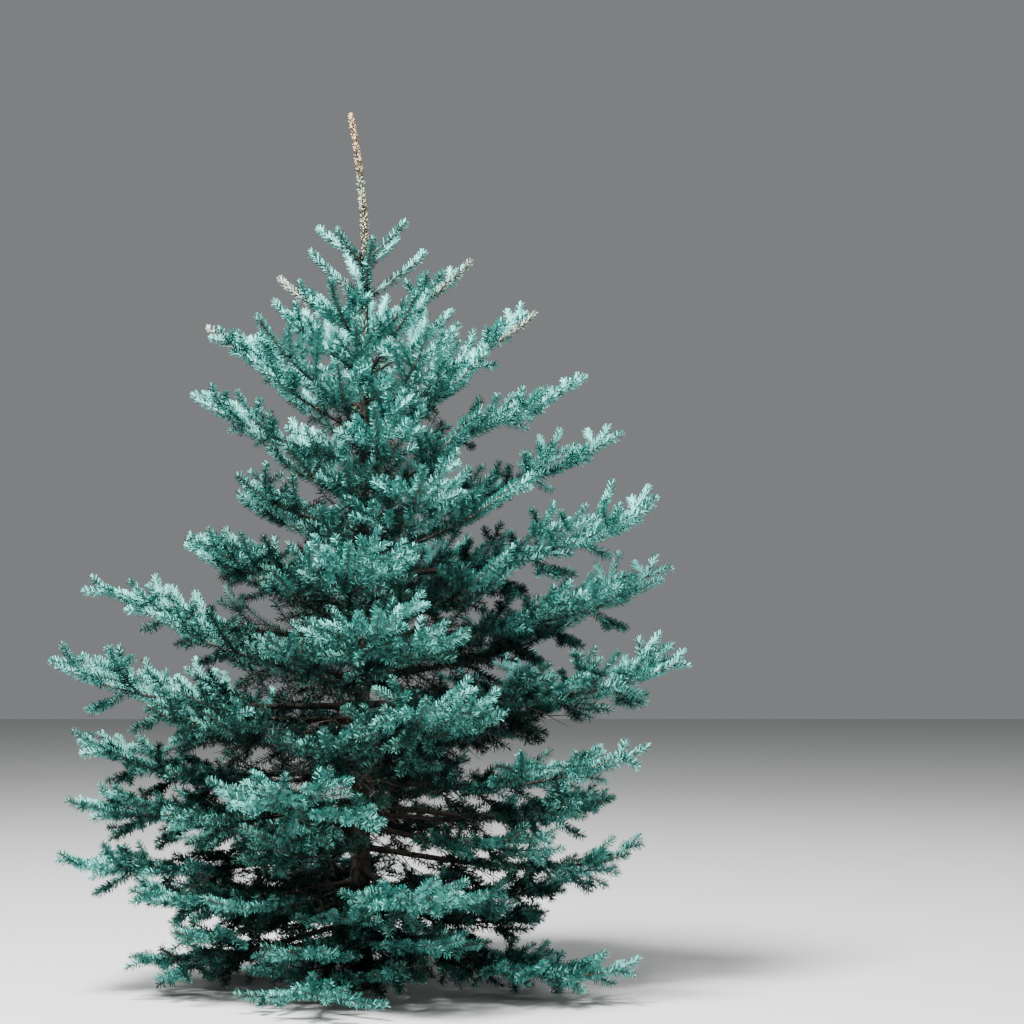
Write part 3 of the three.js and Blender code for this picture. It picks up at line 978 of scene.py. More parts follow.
@dataclass(frozen=True)
class NeedleForm:
    """The shape and set of needles on their twigs. Angles are in degrees from the twig.

    A needle's normal leans from the twig towards the sky and the needle's tip, so that a shoot shades as
    one round body. A pair holds the least and the most of a random number.
    """

    count: int = 520_000
    fewest: int = 4
    root_half_width: float = 0.0019
    tip_half_width: float = 0.0013
    lengths: tuple[float, float] = (0.82, 1.12)
    twist: float = 24.0
    roll_spread: float = 90.0
    soft_up: float = 0.55
    soft_outward: float = 0.3
    soft_spread: float = 0.08
    year: float = 0.17
    jitter: tuple[float, float] = (0.1, 0.9)
    turn_spread: float = 0.5
    towards_tip: float = 0.8
    sunk: float = 0.6
    root_angle: float = 66.0
    tip_angle: float = 22.0
    angle_spread: float = 8.0
    closing_length: float = 0.015
    closing_power: float = 1.5
    closing_shortens: float = 0.4
    top_lean: float = 10.0
    lift: float = 0.14
    freshness: tuple[float, float] = (0.75, 1)

    def per_metre(self, twigs: list[Twig]) -> float:
        """How close the needles stand, so that all twigs together carry the count."""
        return self.count / sum(twig.length * twig.fullness for twig in twigs)

    def blades(
        self, base: Array, radial: Array, direction: Array, length: Array, numbers: np.random.Generator
    ) -> tuple[Array, Array]:
        """The corners of needles, each a narrow twisted blade, and their normals.

        Args:
            base: Where each needle stands.
            radial: The direction from the middle of the twig to there.
            direction: Where each needle points to.
            length: How long each one is.
            numbers: Seeded random numbers.

        Returns:
            Four corners for each needle, and a normal for each.
        """
        roll = np.radians(self.roll_spread * numbers.uniform(-1, 1, len(base)))[:, None]
        wide = unit(np.cross(direction, radial))
        wide = np.cos(roll) * wide + np.sin(roll) * np.cross(wide, direction)
        normal = radial + self.soft_outward * direction + self.soft_up * UP
        normal = unit(normal + self.soft_spread * numbers.normal(size=base.shape))
        wide *= np.where((np.cross(wide, direction) * normal).sum(axis=1) < 0, -1.0, 1.0)[:, None]
        twist = math.radians(self.twist)
        tip = base + direction * length[:, None]
        twisted = math.cos(twist) * wide + math.sin(twist) * np.cross(wide, direction)
        at_root, at_tip = wide * self.root_half_width, twisted * self.tip_half_width
        return np.stack([base - at_root, base + at_root, tip + at_tip, tip - at_tip], axis=1), normal

    def add_to(
        self, parts: MeshParts, twigs: list[Twig], density: float, numbers: np.random.Generator
    ) -> int:
        """Set needles on twigs, each with two faces.

        Args:
            parts: Where the needles go.
            twigs: The twigs.
            density: How many needles a metre of twig has.
            numbers: Seeded random numbers.

        Returns:
            How many needles there are.
        """
        start, bend, end, fresh = (
            np.stack([getattr(twig, key) for twig in twigs]) for key in ("start", "bend", "end", "fresh")
        )
        lengths, fullness, needle_lengths, roots, tips, closed = (
            np.array([float(getattr(twig, key)) for twig in twigs])
            for key in ("length", "fullness", "needle_length", "root_radius", "tip_radius", "closed")
        )
        counts = np.maximum(self.fewest, np.round(lengths * fullness * density)).astype(int)
        which = np.repeat(np.arange(len(twigs)), counts)
        total = len(which)
        place = np.arange(total) - np.repeat(np.cumsum(counts) - counts, counts)
        share = ((place + numbers.uniform(*self.jitter, total)) / counts[which]) ** self.towards_tip
        rest = 1 - share
        centre = (
            (rest**2)[:, None] * start[which]
            + (2 * rest * share)[:, None] * bend[which]
            + (share**2)[:, None] * end[which]
        )
        along = unit(rest[:, None] * (bend - start)[which] + share[:, None] * (end - bend)[which])
        across, over = across_and_over(along)
        turn = place * GOLDEN_ANGLE + numbers.uniform(-self.turn_spread, self.turn_spread, total)
        radial = np.cos(turn)[:, None] * across + np.sin(turn)[:, None] * over
        to_tip = rest * lengths[which]
        near_tip = np.clip(1 - to_tip / self.closing_length, 0, 1)
        closing = np.where(closed[which] > 0, near_tip**self.closing_power, 0.0)
        angle = self.root_angle + (self.tip_angle - self.root_angle) * closing
        angle = angle - self.top_lean * np.maximum(0, np.sin(turn))
        angle = np.radians(angle + numbers.uniform(-self.angle_spread, self.angle_spread, total))
        direction = unit(np.cos(angle)[:, None] * along + np.sin(angle)[:, None] * radial + self.lift * UP)
        length = needle_lengths[which] * numbers.uniform(*self.lengths, total)
        length = length * (1 - self.closing_shortens * closing)
        radius = roots[which] + (tips[which] - roots[which]) * share
        vertices, normal = self.blades(
            centre + radial * (self.sunk * radius)[:, None], radial, direction, length, numbers
        )
        triangles = np.arange(total)[:, None, None] * 4 + np.array([[0, 1, 2], [0, 2, 3]])
        # Paler towards a twig's tip and on twigs far out: freshness with painted light, for the bloom
        # group.
        bloom_and_shade = fresh[which, 0] + (fresh[which, 1] - fresh[which, 0]) * share
        bloom_and_shade = bloom_and_shade * numbers.uniform(*self.freshness, len(twigs))[which]
        tone = np.array([twig.tone.value for twig in twigs])[which]
        tone += (to_tip > self.year) & (tone < Tone.DEEP_SHADE.value)
        # Each needle also carries its place from root to tip, for the painted shade at its root.
        parts.add(
            vertices,
            triangles,
            np.repeat(tone, 2),
            np.repeat(normal, 4, axis=0).astype(np.float32),
            outward=np.tile([0.0, 0.0, 1.0, 1.0], total),
            fresh=np.repeat(bloom_and_shade, 4),
        )
        return total


class ShaderGroup:
    """A node group that works out a colour, a roughness and a height that vary over a surface."""

    def __init__(self, name: str, inputs: dict[str, str], outputs: dict[str, str]) -> None:
        """Make the group with its sockets.

        Args:
            name: Its name.
            inputs: The type of each input socket, by name.
            outputs: The type of each output socket, by name.
        """
        self.tree = bpy.data.node_groups.new(name, "ShaderNodeTree")
        for side, sockets in (("INPUT", inputs), ("OUTPUT", outputs)):
            for label, kind in sockets.items():
                self.tree.interface.new_socket(label, in_out=side, socket_type=kind)
        self.given = self.tree.nodes.new("NodeGroupInput")
        self.result = self.tree.nodes.new("NodeGroupOutput")

    def node(self, kind: str, **settings: object) -> bpy.types.Node:
        """Add a node.

        Args:
            kind: The node's type.
            **settings: Properties to set on it.

        Returns:
            The node.
        """
        node = self.tree.nodes.new(kind)
        for key, value in settings.items():
            setattr(node, key, value)
        return node

    def link(self, source: bpy.types.NodeSocket, target: bpy.types.NodeSocket) -> None:
        """Join two sockets."""
        self.tree.links.new(source, target)

    def noise(self, scale: float, detail: float) -> bpy.types.NodeSocket:
        """A noise on the object's own coordinates.

        Args:
            scale: Its scale.
            detail: Its detail.

        Returns:
            The noise's value.
        """
        place = self.node("ShaderNodeTexCoord")
        noise = self.node("ShaderNodeTexNoise")
        noise.inputs["Scale"].default_value = scale
        noise.inputs["Detail"].default_value = detail
        self.link(place.outputs["Object"], noise.inputs["Vector"])
        return noise.outputs["Fac"]

    def ramp(
        self, value: bpy.types.NodeSocket, low: float, high: float, to: tuple[float, float] = (0.0, 1.0)
    ) -> bpy.types.NodeSocket:
        """A value brought from one range to another.

        Args:
            value: The value.
            low: The low end of its range.
            high: The high end of its range.
            to: The ends of the new range.

        Returns:
            The new value's socket.
        """
        ramp = self.node("ShaderNodeMapRange")
        for key, number in (("From Min", low), ("From Max", high), ("To Min", to[0]), ("To Max", to[1])):
            ramp.inputs[key].default_value = number
        self.link(value, ramp.inputs["Value"])
        return ramp.outputs["Result"]

    def product(self, first: bpy.types.NodeSocket, second: bpy.types.NodeSocket) -> bpy.types.NodeSocket:
        """The product of two values.

        Args:
            first: The first value.
            second: The second value.

        Returns:
            The product's socket.
        """
        product = self.node("ShaderNodeMath", operation="MULTIPLY")
        self.link(first, product.inputs[0])
        self.link(second, product.inputs[1])
        return product.outputs[0]

    def mixed(
        self, share: bpy.types.NodeSocket, first: bpy.types.NodeSocket, second: bpy.types.NodeSocket
    ) -> bpy.types.NodeSocket:
        """A mix of two colours.

        Args:
            share: How much of the second one there is.
            first: The first colour.
            second: The second colour.

        Returns:
            The mix's socket.
        """
        mix = self.node("ShaderNodeMix", data_type="RGBA")
        self.link(share, mix.inputs[0])
        self.link(first, mix.inputs[6])
        self.link(second, mix.inputs[7])
        return mix.outputs[2]


def bloom_and_shade_group() -> bpy.types.NodeTree:
    """Waxy bloom and painted light on needles: palest at their outer ends and on fresh, lit wood; roots in
    painted shade.

    Returns:
        The group, from a base and a pale colour to a colour and a roughness.
    """
    group = ShaderGroup(
        "needle_bloom_and_shade",
        {"Base": "NodeSocketColor", "Pale": "NodeSocketColor"},
        {"Color": "NodeSocketColor", "Roughness": "NodeSocketFloat"},
    )
    outward = group.node("ShaderNodeAttribute", attribute_name="outward")
    fresh = group.node("ShaderNodeAttribute", attribute_name="fresh")
    # Darker towards each needle's root, painted shade inside the shoot; pale at the outer end, bloom and
    # painted light.
    open_end = group.ramp(outward.outputs["Fac"], 0.05, 0.75)
    whole = group.ramp(fresh.outputs["Fac"], 0.0, 1.0, (0.12, 1.0))
    fine = group.ramp(group.noise(60.0, 1.0), 0.3, 0.7, (0.85, 1.0))
    bloom_and_shade = group.product(group.product(open_end, whole), fine)
    colour = group.mixed(bloom_and_shade, group.given.outputs["Base"], group.given.outputs["Pale"])
    group.link(colour, group.result.inputs["Color"])
    group.link(group.ramp(bloom_and_shade, 0.0, 1.0, (0.65, 0.85)), group.result.inputs["Roughness"])
    return group.tree


def bark_group() -> bpy.types.NodeTree:
    """Scaly bark: plates between dark cracks, with lichen-grey patches.

    Returns:
        The group, from three colours and a scale to a colour, a roughness and a height.
    """
    group = ShaderGroup(
        "scaly_bark",
        dict.fromkeys(("Plate", "Crack", "Grey"), "NodeSocketColor") | {"Scale": "NodeSocketFloat"},
        {"Color": "NodeSocketColor", "Roughness": "NodeSocketFloat", "Height": "NodeSocketFloat"},
    )
    place = group.node("ShaderNodeTexCoord")
    stretch = group.node("ShaderNodeMapping")
    stretch.inputs["Scale"].default_value = (1.0, 1.0, 0.55)
    group.link(place.outputs["Object"], stretch.inputs["Vector"])
    plates = group.node("ShaderNodeTexVoronoi", feature="DISTANCE_TO_EDGE")
    group.link(stretch.outputs["Vector"], plates.inputs["Vector"])
    group.link(group.given.outputs["Scale"], plates.inputs["Scale"])
    height = group.ramp(plates.outputs["Distance"], 0.0, 0.22)
    grey = group.ramp(group.noise(14.0, 4.0), 0.48, 0.62, (0.0, 0.6))
    plate = group.mixed(grey, group.given.outputs["Plate"], group.given.outputs["Grey"])
    grain = group.ramp(group.noise(220.0, 3.0), 0.3, 0.7, (0.6, 1.0))
    shade = group.product(height, grain)
    group.link(group.mixed(shade, group.given.outputs["Crack"], plate), group.result.inputs["Color"])
    group.link(group.ramp(shade, 0.0, 1.0, (0.95, 0.78)), group.result.inputs["Roughness"])
    group.link(shade, group.result.inputs["Height"])
    return group.tree


def grouped_material(
    name: str, group: bpy.types.NodeTree, values: dict[str, Colour | float], specular: float
) -> tuple[bpy.types.Material, bpy.types.Node]:
    """Make a material whose colour and roughness come from a node group.

    Args:
        name: Its name.
        group: The group.
        values: What the group's input sockets are set to.
        specular: How strongly it mirrors.

    Returns:
        The material and its group node.
    """
    material = bpy.data.materials.new(name)
    material.use_nodes = True
    tree = material.node_tree
    shader = tree.nodes["Principled BSDF"]
    source = tree.nodes.new("ShaderNodeGroup")
    source.node_tree = group
    for key, value in values.items():
        source.inputs[key].default_value = value
    tree.links.new(source.outputs["Color"], shader.inputs["Base Color"])
    tree.links.new(source.outputs["Roughness"], shader.inputs["Roughness"])
    shader.inputs["Specular IOR Level"].default_value = specular
    return material, source


@dataclass(frozen=True)
class NeedleFinish:
    """One tint of needles."""

    name: str
    base: Colour
    pale: Colour
    specular: float = 0.08

    def material(self, group: bpy.types.NodeTree) -> bpy.types.Material:
        """Make the material from the node group of bloom and painted shade."""
        return grouped_material(self.name, group, {"Base": self.base, "Pale": self.pale}, self.specular)[0]


@dataclass(frozen=True)
class BarkFinish:
    """One kind of bark."""

    name: str
    plate: Colour
    crack: Colour
    grey: Colour
    scale: float
    relief: float
    bump: float = 0.6
    specular: float = 0.25

    def material(self, group: bpy.types.NodeTree) -> bpy.types.Material:
        """Make the material.

        Args:
            group: The bark's node group.

        Returns:
            The material.
        """
        values = {"Plate": self.plate, "Crack": self.crack, "Grey": self.grey, "Scale": self.scale}
        material, bark = grouped_material(self.name, group, values, self.specular)
        tree = material.node_tree
        bump = tree.nodes.new("ShaderNodeBump")
        bump.inputs["Strength"].default_value = self.bump
        bump.inputs["Distance"].default_value = self.relief
        tree.links.new(bark.outputs["Height"], bump.inputs["Height"])
        tree.links.new(bump.outputs["Normal"], tree.nodes["Principled BSDF"].inputs["Normal"])
        return material


class Finishes:
    """All materials of the tree, each made once."""

    # A tint's base colour shows at needle roots and on shaded twigs, its pale one at lit outer ends: partly
    # painted shade.
    NEEDLES = {
        Tone.FROST: NeedleFinish("needles_frost", (0.104, 0.350, 0.315, 1), (0.118, 0.520, 0.465, 1)),
        Tone.BLUE: NeedleFinish("needles_blue", (0.056, 0.200, 0.178, 1), (0.125, 0.480, 0.420, 1)),
        Tone.TEAL: NeedleFinish("needles_teal", (0.021, 0.064, 0.054, 1), (0.088, 0.340, 0.275, 1)),
        Tone.DEEP_SHADE: NeedleFinish("needles_deep_shade", (0.008, 0.023, 0.020, 1), (0.034, 0.120, 0.098, 1)),
        Tone.STRAW: NeedleFinish("needles_straw", (0.150, 0.190, 0.150, 1), (0.400, 0.540, 0.450, 1)),
        Tone.TAN: NeedleFinish("needles_tan", (0.400, 0.285, 0.160, 1), (0.600, 0.450, 0.260, 1)),
    }
    # The trunk's and boughs' bark is darker than its real grey-brown: painted shade inside the crown.
    TRUNK_SHADED = BarkFinish(
        "bark_trunk_shaded", (0.052, 0.042, 0.035, 1), (0.013, 0.010, 0.008, 1),
        (0.095, 0.087, 0.078, 1), 42.0, 0.004
    )
    BOUGH_SHADED = BarkFinish(
        "bark_bough_shaded", (0.042, 0.033, 0.026, 1), (0.012, 0.009, 0.007, 1),
        (0.075, 0.068, 0.060, 1), 120.0, 0.0015
    )
    YOUNG = BarkFinish(
        "bark_young", (0.140, 0.117, 0.088, 1), (0.068, 0.055, 0.043, 1),
        (0.190, 0.170, 0.138, 1), 260.0, 0.0006
    )
    # Twig wood darker and greener than the real tan shoots: painted shade between the needles.
    TWIG_SHADED = BarkFinish(
        "bark_twig_shaded", (0.070, 0.075, 0.055, 1), (0.025, 0.026, 0.020, 1),
        (0.120, 0.120, 0.090, 1), 260.0, 0.0006
    )
    DEAD = BarkFinish(
        "bark_dead", (0.090, 0.072, 0.058, 1), (0.030, 0.024, 0.020, 1),
        (0.160, 0.145, 0.130, 1), 200.0, 0.0008
    )
    BUD = BarkFinish(
        "bud_scales", (0.330, 0.190, 0.105, 1), (0.140, 0.070, 0.035, 1),
        (0.420, 0.290, 0.190, 1), 420.0, 0.0005
    )

    def __init__(self) -> None:
        """Make them."""
        bloom_and_shade, bark = bloom_and_shade_group(), bark_group()
        self.needles = [self.NEEDLES[tone].material(bloom_and_shade) for tone in Tone]
        self.trunk, self.bough, self.young, self.twig, self.dead, self.bud = (
            finish.material(bark)
            for finish in (self.TRUNK_SHADED, self.BOUGH_SHADED, self.YOUNG, self.TWIG_SHADED, self.DEAD, self.BUD)
        )


class Modelling:
    """Edit-mode work on one piece at a time."""

    @staticmethod
    def nothing_selected() -> None:
        """Deselect every object."""
        bpy.ops.object.select_all(action="DESELECT")

    @staticmethod
    def select_faces(mesh: bpy.types.Mesh, wanted: Callable[[bpy.types.MeshPolygon], bool]) -> None:
        """Select some faces of the mesh in edit mode, and nothing else.

        Args:
            mesh: The mesh.
            wanted: Whether a face is to be selected.
        """
        bpy.ops.mesh.select_mode(type="FACE")
        bpy.ops.mesh.select_all(action="DESELECT")
        bpy.ops.object.mode_set(mode="OBJECT")
        for face in mesh.polygons:
            face.select = wanted(face)
        bpy.ops.object.mode_set(mode="EDIT")

    @staticmethod
    def finish(piece: bpy.types.Object, name: str, material: bpy.types.Material) -> bpy.types.Object:
        """Name a piece, put its place into its mesh and dress it.

        Args:
            piece: The piece, in object mode.
            name: Its name.
            material: Its material.

        Returns:
            The piece.
        """
        bpy.ops.object.transform_apply(location=True, rotation=True, scale=True)
        piece.name = piece.data.name = name
        piece.data.materials.clear()
        piece.data.materials.append(material)
        return piece


@dataclass(frozen=True)
class TrunkWood:
    """The trunk with the leader on top, from its flat cut at ground level up. Angles are in degrees."""

    form: TrunkForm
    sides: int = 20
    steps: int = 26
    step_growth: float = 1.5
    below: float = 0.03
    level: float = 0.9
    flare_rings: float = 3.0
    same_ring: float = 1e-3
    lobe_depth: float = 0.8
    lobe_from: float = 0.3
    subdivisions: int = 3
    sharpest_smooth: float = 50.0
    plate_size: float = 0.02
    relief: float = 0.0035
    fissure_size: float = 0.07
    fissure_depth: float = 0.003

    def build(self, material: bpy.types.Material) -> bpy.types.Object:
        """Model the trunk: a short cylinder drawn up along the trunk's line, with its flare, cut and bark.

        Args:
            material: The bark.

        Returns:
            The piece.
        """
        Modelling.nothing_selected()
        radius = self.form.radius(0.0)
        bpy.ops.mesh.primitive_cylinder_add(
            vertices=self.sides, radius=radius, depth=self.below, location=(0, 0, -self.below / 2)
        )
        trunk = bpy.context.object
        bpy.ops.object.transform_apply(location=True)
        bpy.ops.object.mode_set(mode="EDIT")
        Modelling.select_faces(trunk.data, lambda face: face.normal.z > self.level)
        z, place = 0.0, self.form.axis(0.0)
        for i in range(1, self.steps + 1):
            height = self.form.height * (i / self.steps) ** self.step_growth
            following = self.form.axis(height)
            rise = tuple(following - place)
            bpy.ops.mesh.extrude_region_move(TRANSFORM_OT_translate={"value": rise})
            scale = self.form.radius(height) / self.form.radius(z)
            bpy.ops.transform.resize(value=(scale, scale, 1), center_override=tuple(following))
            z, place = height, following
        self.shape_flare(trunk.data)
        bpy.ops.object.mode_set(mode="OBJECT")
        self.add_bark(trunk)
        bpy.ops.object.mode_set(mode="EDIT")
        bpy.ops.mesh.select_all(action="SELECT")
        bpy.ops.mesh.bisect(plane_co=(0, 0, 0), plane_no=(0, 0, 1), use_fill=True, clear_inner=True)
        bpy.ops.object.mode_set(mode="OBJECT")
        bpy.ops.object.shade_smooth_by_angle(angle=math.radians(self.sharpest_smooth))
        return Modelling.finish(trunk, "trunk_wood", material)

    def shape_flare(self, mesh: bpy.types.Mesh) -> None:
        """Draw the root flare's lobes out and the hollows between them in, ring by ring.

        Args:
            mesh: The trunk's mesh, in edit mode.
        """
        form = self.form
        bpy.ops.mesh.select_mode(type="VERT")
        bpy.ops.object.mode_set(mode="OBJECT")
        flare_top = self.flare_rings * form.flare_height
        heights = sorted({round(vertex.co.z, 4) for vertex in mesh.vertices if vertex.co.z < flare_top})
        bpy.ops.object.mode_set(mode="EDIT")
        for ring, lobe in product(heights, (1, -1)):
            height = max(ring, 0.0)
            centre = tuple(form.axis(height))
            depth = form.flare_radius * math.exp(-height / form.flare_height)
            scale = 1 + self.lobe_depth * lobe * depth / form.radius(height)
            bpy.ops.mesh.select_all(action="DESELECT")
            bpy.ops.object.mode_set(mode="OBJECT")
            for vertex in mesh.vertices:
                angle = math.atan2(vertex.co.y, vertex.co.x - centre[0])
                on_lobe = math.cos(form.flare_lobes * angle) * lobe > self.lobe_from
                vertex.select = abs(vertex.co.z - ring) < self.same_ring and on_lobe
            bpy.ops.object.mode_set(mode="EDIT")
            bpy.ops.transform.resize(value=(scale, scale, 1), center_override=centre)

    def add_bark(self, trunk: bpy.types.Object) -> None:
        """Subdivide the trunk and press its plates and long fissures into it.

        Args:
            trunk: The trunk, in object mode.
        """
        fine = trunk.modifiers.new("fine", "SUBSURF")
        fine.levels = fine.render_levels = self.subdivisions
        bpy.ops.object.modifier_apply(modifier=fine.name)
        for name, kind, size, depth in (
            ("plates", "VORONOI", self.plate_size, self.relief),
            ("fissures", "CLOUDS", self.fissure_size, self.fissure_depth),
        ):
            texture = bpy.data.textures.new(name, kind)
            texture.noise_scale = size
            relief = trunk.modifiers.new(name, "DISPLACE")
            relief.texture = texture
            relief.texture_coords = "LOCAL"
            relief.strength = depth
            relief.mid_level = 0.5
            bpy.ops.object.modifier_apply(modifier=relief.name)


@dataclass(frozen=True)
class BoughWood:
    """The boughs' own limbs, from inside the trunk to their tips, with a swollen collar at the foot."""

    sides: int = 8
    fewest_rings: int = 8
    ring_spacing: float = 0.022
    end: float = 0.995
    roughness: float = 0.09
    collar: float = 0.35
    collar_length: float = 0.03
    young: float = 0.25

    def build(self, lines: list[BoughLine], materials: list[bpy.types.Material]) -> bpy.types.Object:
        """Make the limbs, with the relief of their bark.

        Args:
            lines: The boughs' lines.
            materials: The bark of the older and of the young wood.

        Returns:
            The piece.
        """
        parts = MeshParts()
        numbers = np.random.default_rng(SEED)
        for line in lines:
            rings = max(self.fewest_rings, round(line.length / self.ring_spacing))
            share = np.linspace(0, self.end, rings)
            relief = 1 + self.roughness * numbers.uniform(-1, 1, (rings, self.sides))
            swelling = 1 + self.collar * np.exp(-share * line.length / self.collar_length)
            radii = (line.radii(share) * swelling)[:, None] * relief
            vertices, triangles = tubes(line.points(share)[None], radii[None], self.sides)
            old = round((1 - self.young / line.length) * rings) * self.sides * 2
            parts.add(vertices, triangles, (np.arange(triangles.size // 3) > old).astype(int))
        return parts.piece("bough_wood", materials)


@dataclass(frozen=True)
class TwigWood:
    """The wood of the twigs, as slim closed tubes whose sides and rings go by the twigs' order."""

    sides: tuple[int, ...] = (4, 3, 3)
    rings: tuple[int, ...] = (4, 3, 2)

    def build(self, name: str, twigs: list[Twig], material: bpy.types.Material) -> bpy.types.Object:
        """Make the twigs' wood.

        Args:
            name: The piece's name.
            twigs: The twigs.
            material: The bark.

        Returns:
            The piece.
        """
        parts = MeshParts()
        for order, (sides, rings) in enumerate(zip(self.sides, self.rings)):
            chosen = [twig for twig in twigs if twig.order == order and twig.wood]
            if not chosen:
                continue
            share = np.linspace(0, 1, rings)
            centres = np.stack([[twig.point(place) for place in share] for twig in chosen])
            roots = np.array([twig.root_radius for twig in chosen])[:, None]
            tips = np.array([twig.tip_radius for twig in chosen])[:, None]
            parts.add(*tubes(centres, roots + (tips - roots) * share, sides))
        return parts.piece(name, [material])


@dataclass(frozen=True)
class Buds:
    """The winter buds at the tips of shoots. The cone and its foot are shares of the length."""

    radius: float = 0.0034
    length: float = 0.009
    sides: int = 4
    cone: float = 0.7
    cone_middle: float = 0.65
    foot: float = 0.3
    foot_width: float = 0.4
    level: float = 0.9

    def model(self) -> tuple[Array, Array]:
        """Model one bud, standing on the origin: a cone whose foot is drawn in.

        Returns:
            Its vertices and triangles.
        """
        Modelling.nothing_selected()
        bpy.ops.mesh.primitive_cone_add(
            vertices=self.sides,
            radius1=self.radius,
            radius2=0,
            depth=self.length * self.cone,
            end_fill_type="TRIFAN",
            location=(0, 0, self.length * self.cone_middle),
        )
        bud = bpy.context.object
        bpy.ops.object.transform_apply(location=True)
        bpy.ops.object.mode_set(mode="EDIT")
        Modelling.select_faces(bud.data, lambda face: face.normal.z < -self.level)
        drop = (0, 0, -self.length * self.foot)
        bpy.ops.mesh.extrude_region_move(TRANSFORM_OT_translate={"value": drop})
        bpy.ops.transform.resize(value=(self.foot_width, self.foot_width, 1), center_override=(0, 0, 0))
        bpy.ops.mesh.select_all(action="SELECT")
        bpy.ops.mesh.quads_convert_to_tris()
        bpy.ops.object.mode_set(mode="OBJECT")
        vertices = np.array([vertex.co for vertex in bud.data.vertices])
        triangles = np.array([face.vertices for face in bud.data.polygons])
        bpy.data.objects.remove(bud)
        return vertices, triangles

    def build(self, twigs: list[Twig], material: bpy.types.Material) -> bpy.types.Object:
        """Put a bud at the tip of each twig that has one.

        Args:
            twigs: The twigs.
            material: The buds' scales.

        Returns:
            The piece.
        """
        vertices, triangles = self.model()
        chosen = [twig for twig in twigs if twig.bud]
        tips = np.stack([twig.end for twig in chosen])
        along = np.stack([twig.tangent(1.0) for twig in chosen])
        across, over = across_and_over(along)
        placed = tips[:, None] + sum(
            vertices[None, :, i:i + 1] * axis[:, None] for i, axis in enumerate((across, over, along))
        )
        parts = MeshParts()
        parts.add(placed, triangles[None] + np.arange(len(chosen))[:, None, None] * len(vertices))
        return parts.piece("buds", [material])


@dataclass(frozen=True)
class Leader:
    """The needles on the leader, and the longer ones on the stem under it."""

    form: TrunkForm
    clad_from: float = 2.35
    stem_needle: float = 0.025
    stem_fullness: float = 1.6
    pale_needle: float = 0.017
    pale_fullness: float = 0.5
    pale_below_top: float = 0.4
    tan_needle: float = 0.012
    tan_fullness: float = 1.8

    def twigs(self) -> list[Twig]:
        """The stem and the leader as curves that carry needles.

        The stem's are blue. The leader has short tan ones all the way up, and some pale ones below.

        Returns:
            The curves.
        """
        foot, top = self.form.crown_height, self.form.height
        pale_top, half = top - self.pale_below_top * self.form.leader, top - 0.5 * self.form.leader
        made = []
        for low, high, tone, length, fullness in (
            (self.clad_from, foot, Tone.BLUE, self.stem_needle, self.stem_fullness),
            (foot, pale_top, Tone.FROST, self.pale_needle, self.pale_fullness),
            (foot, half, Tone.TAN, self.tan_needle, self.tan_fullness),
            (half, top, Tone.TAN, self.tan_needle, self.tan_fullness),
        ):
            places = (self.form.axis(z) for z in (low, (low + high) / 2, high))
            twig = Twig.through(*places, tone=tone, needle_length=length, fullness=fullness)
            twig.bud = twig.closed = high == top
            twig.root_radius, twig.tip_radius = self.form.radius(low), self.form.radius(high)
            made.append(twig)
        return made


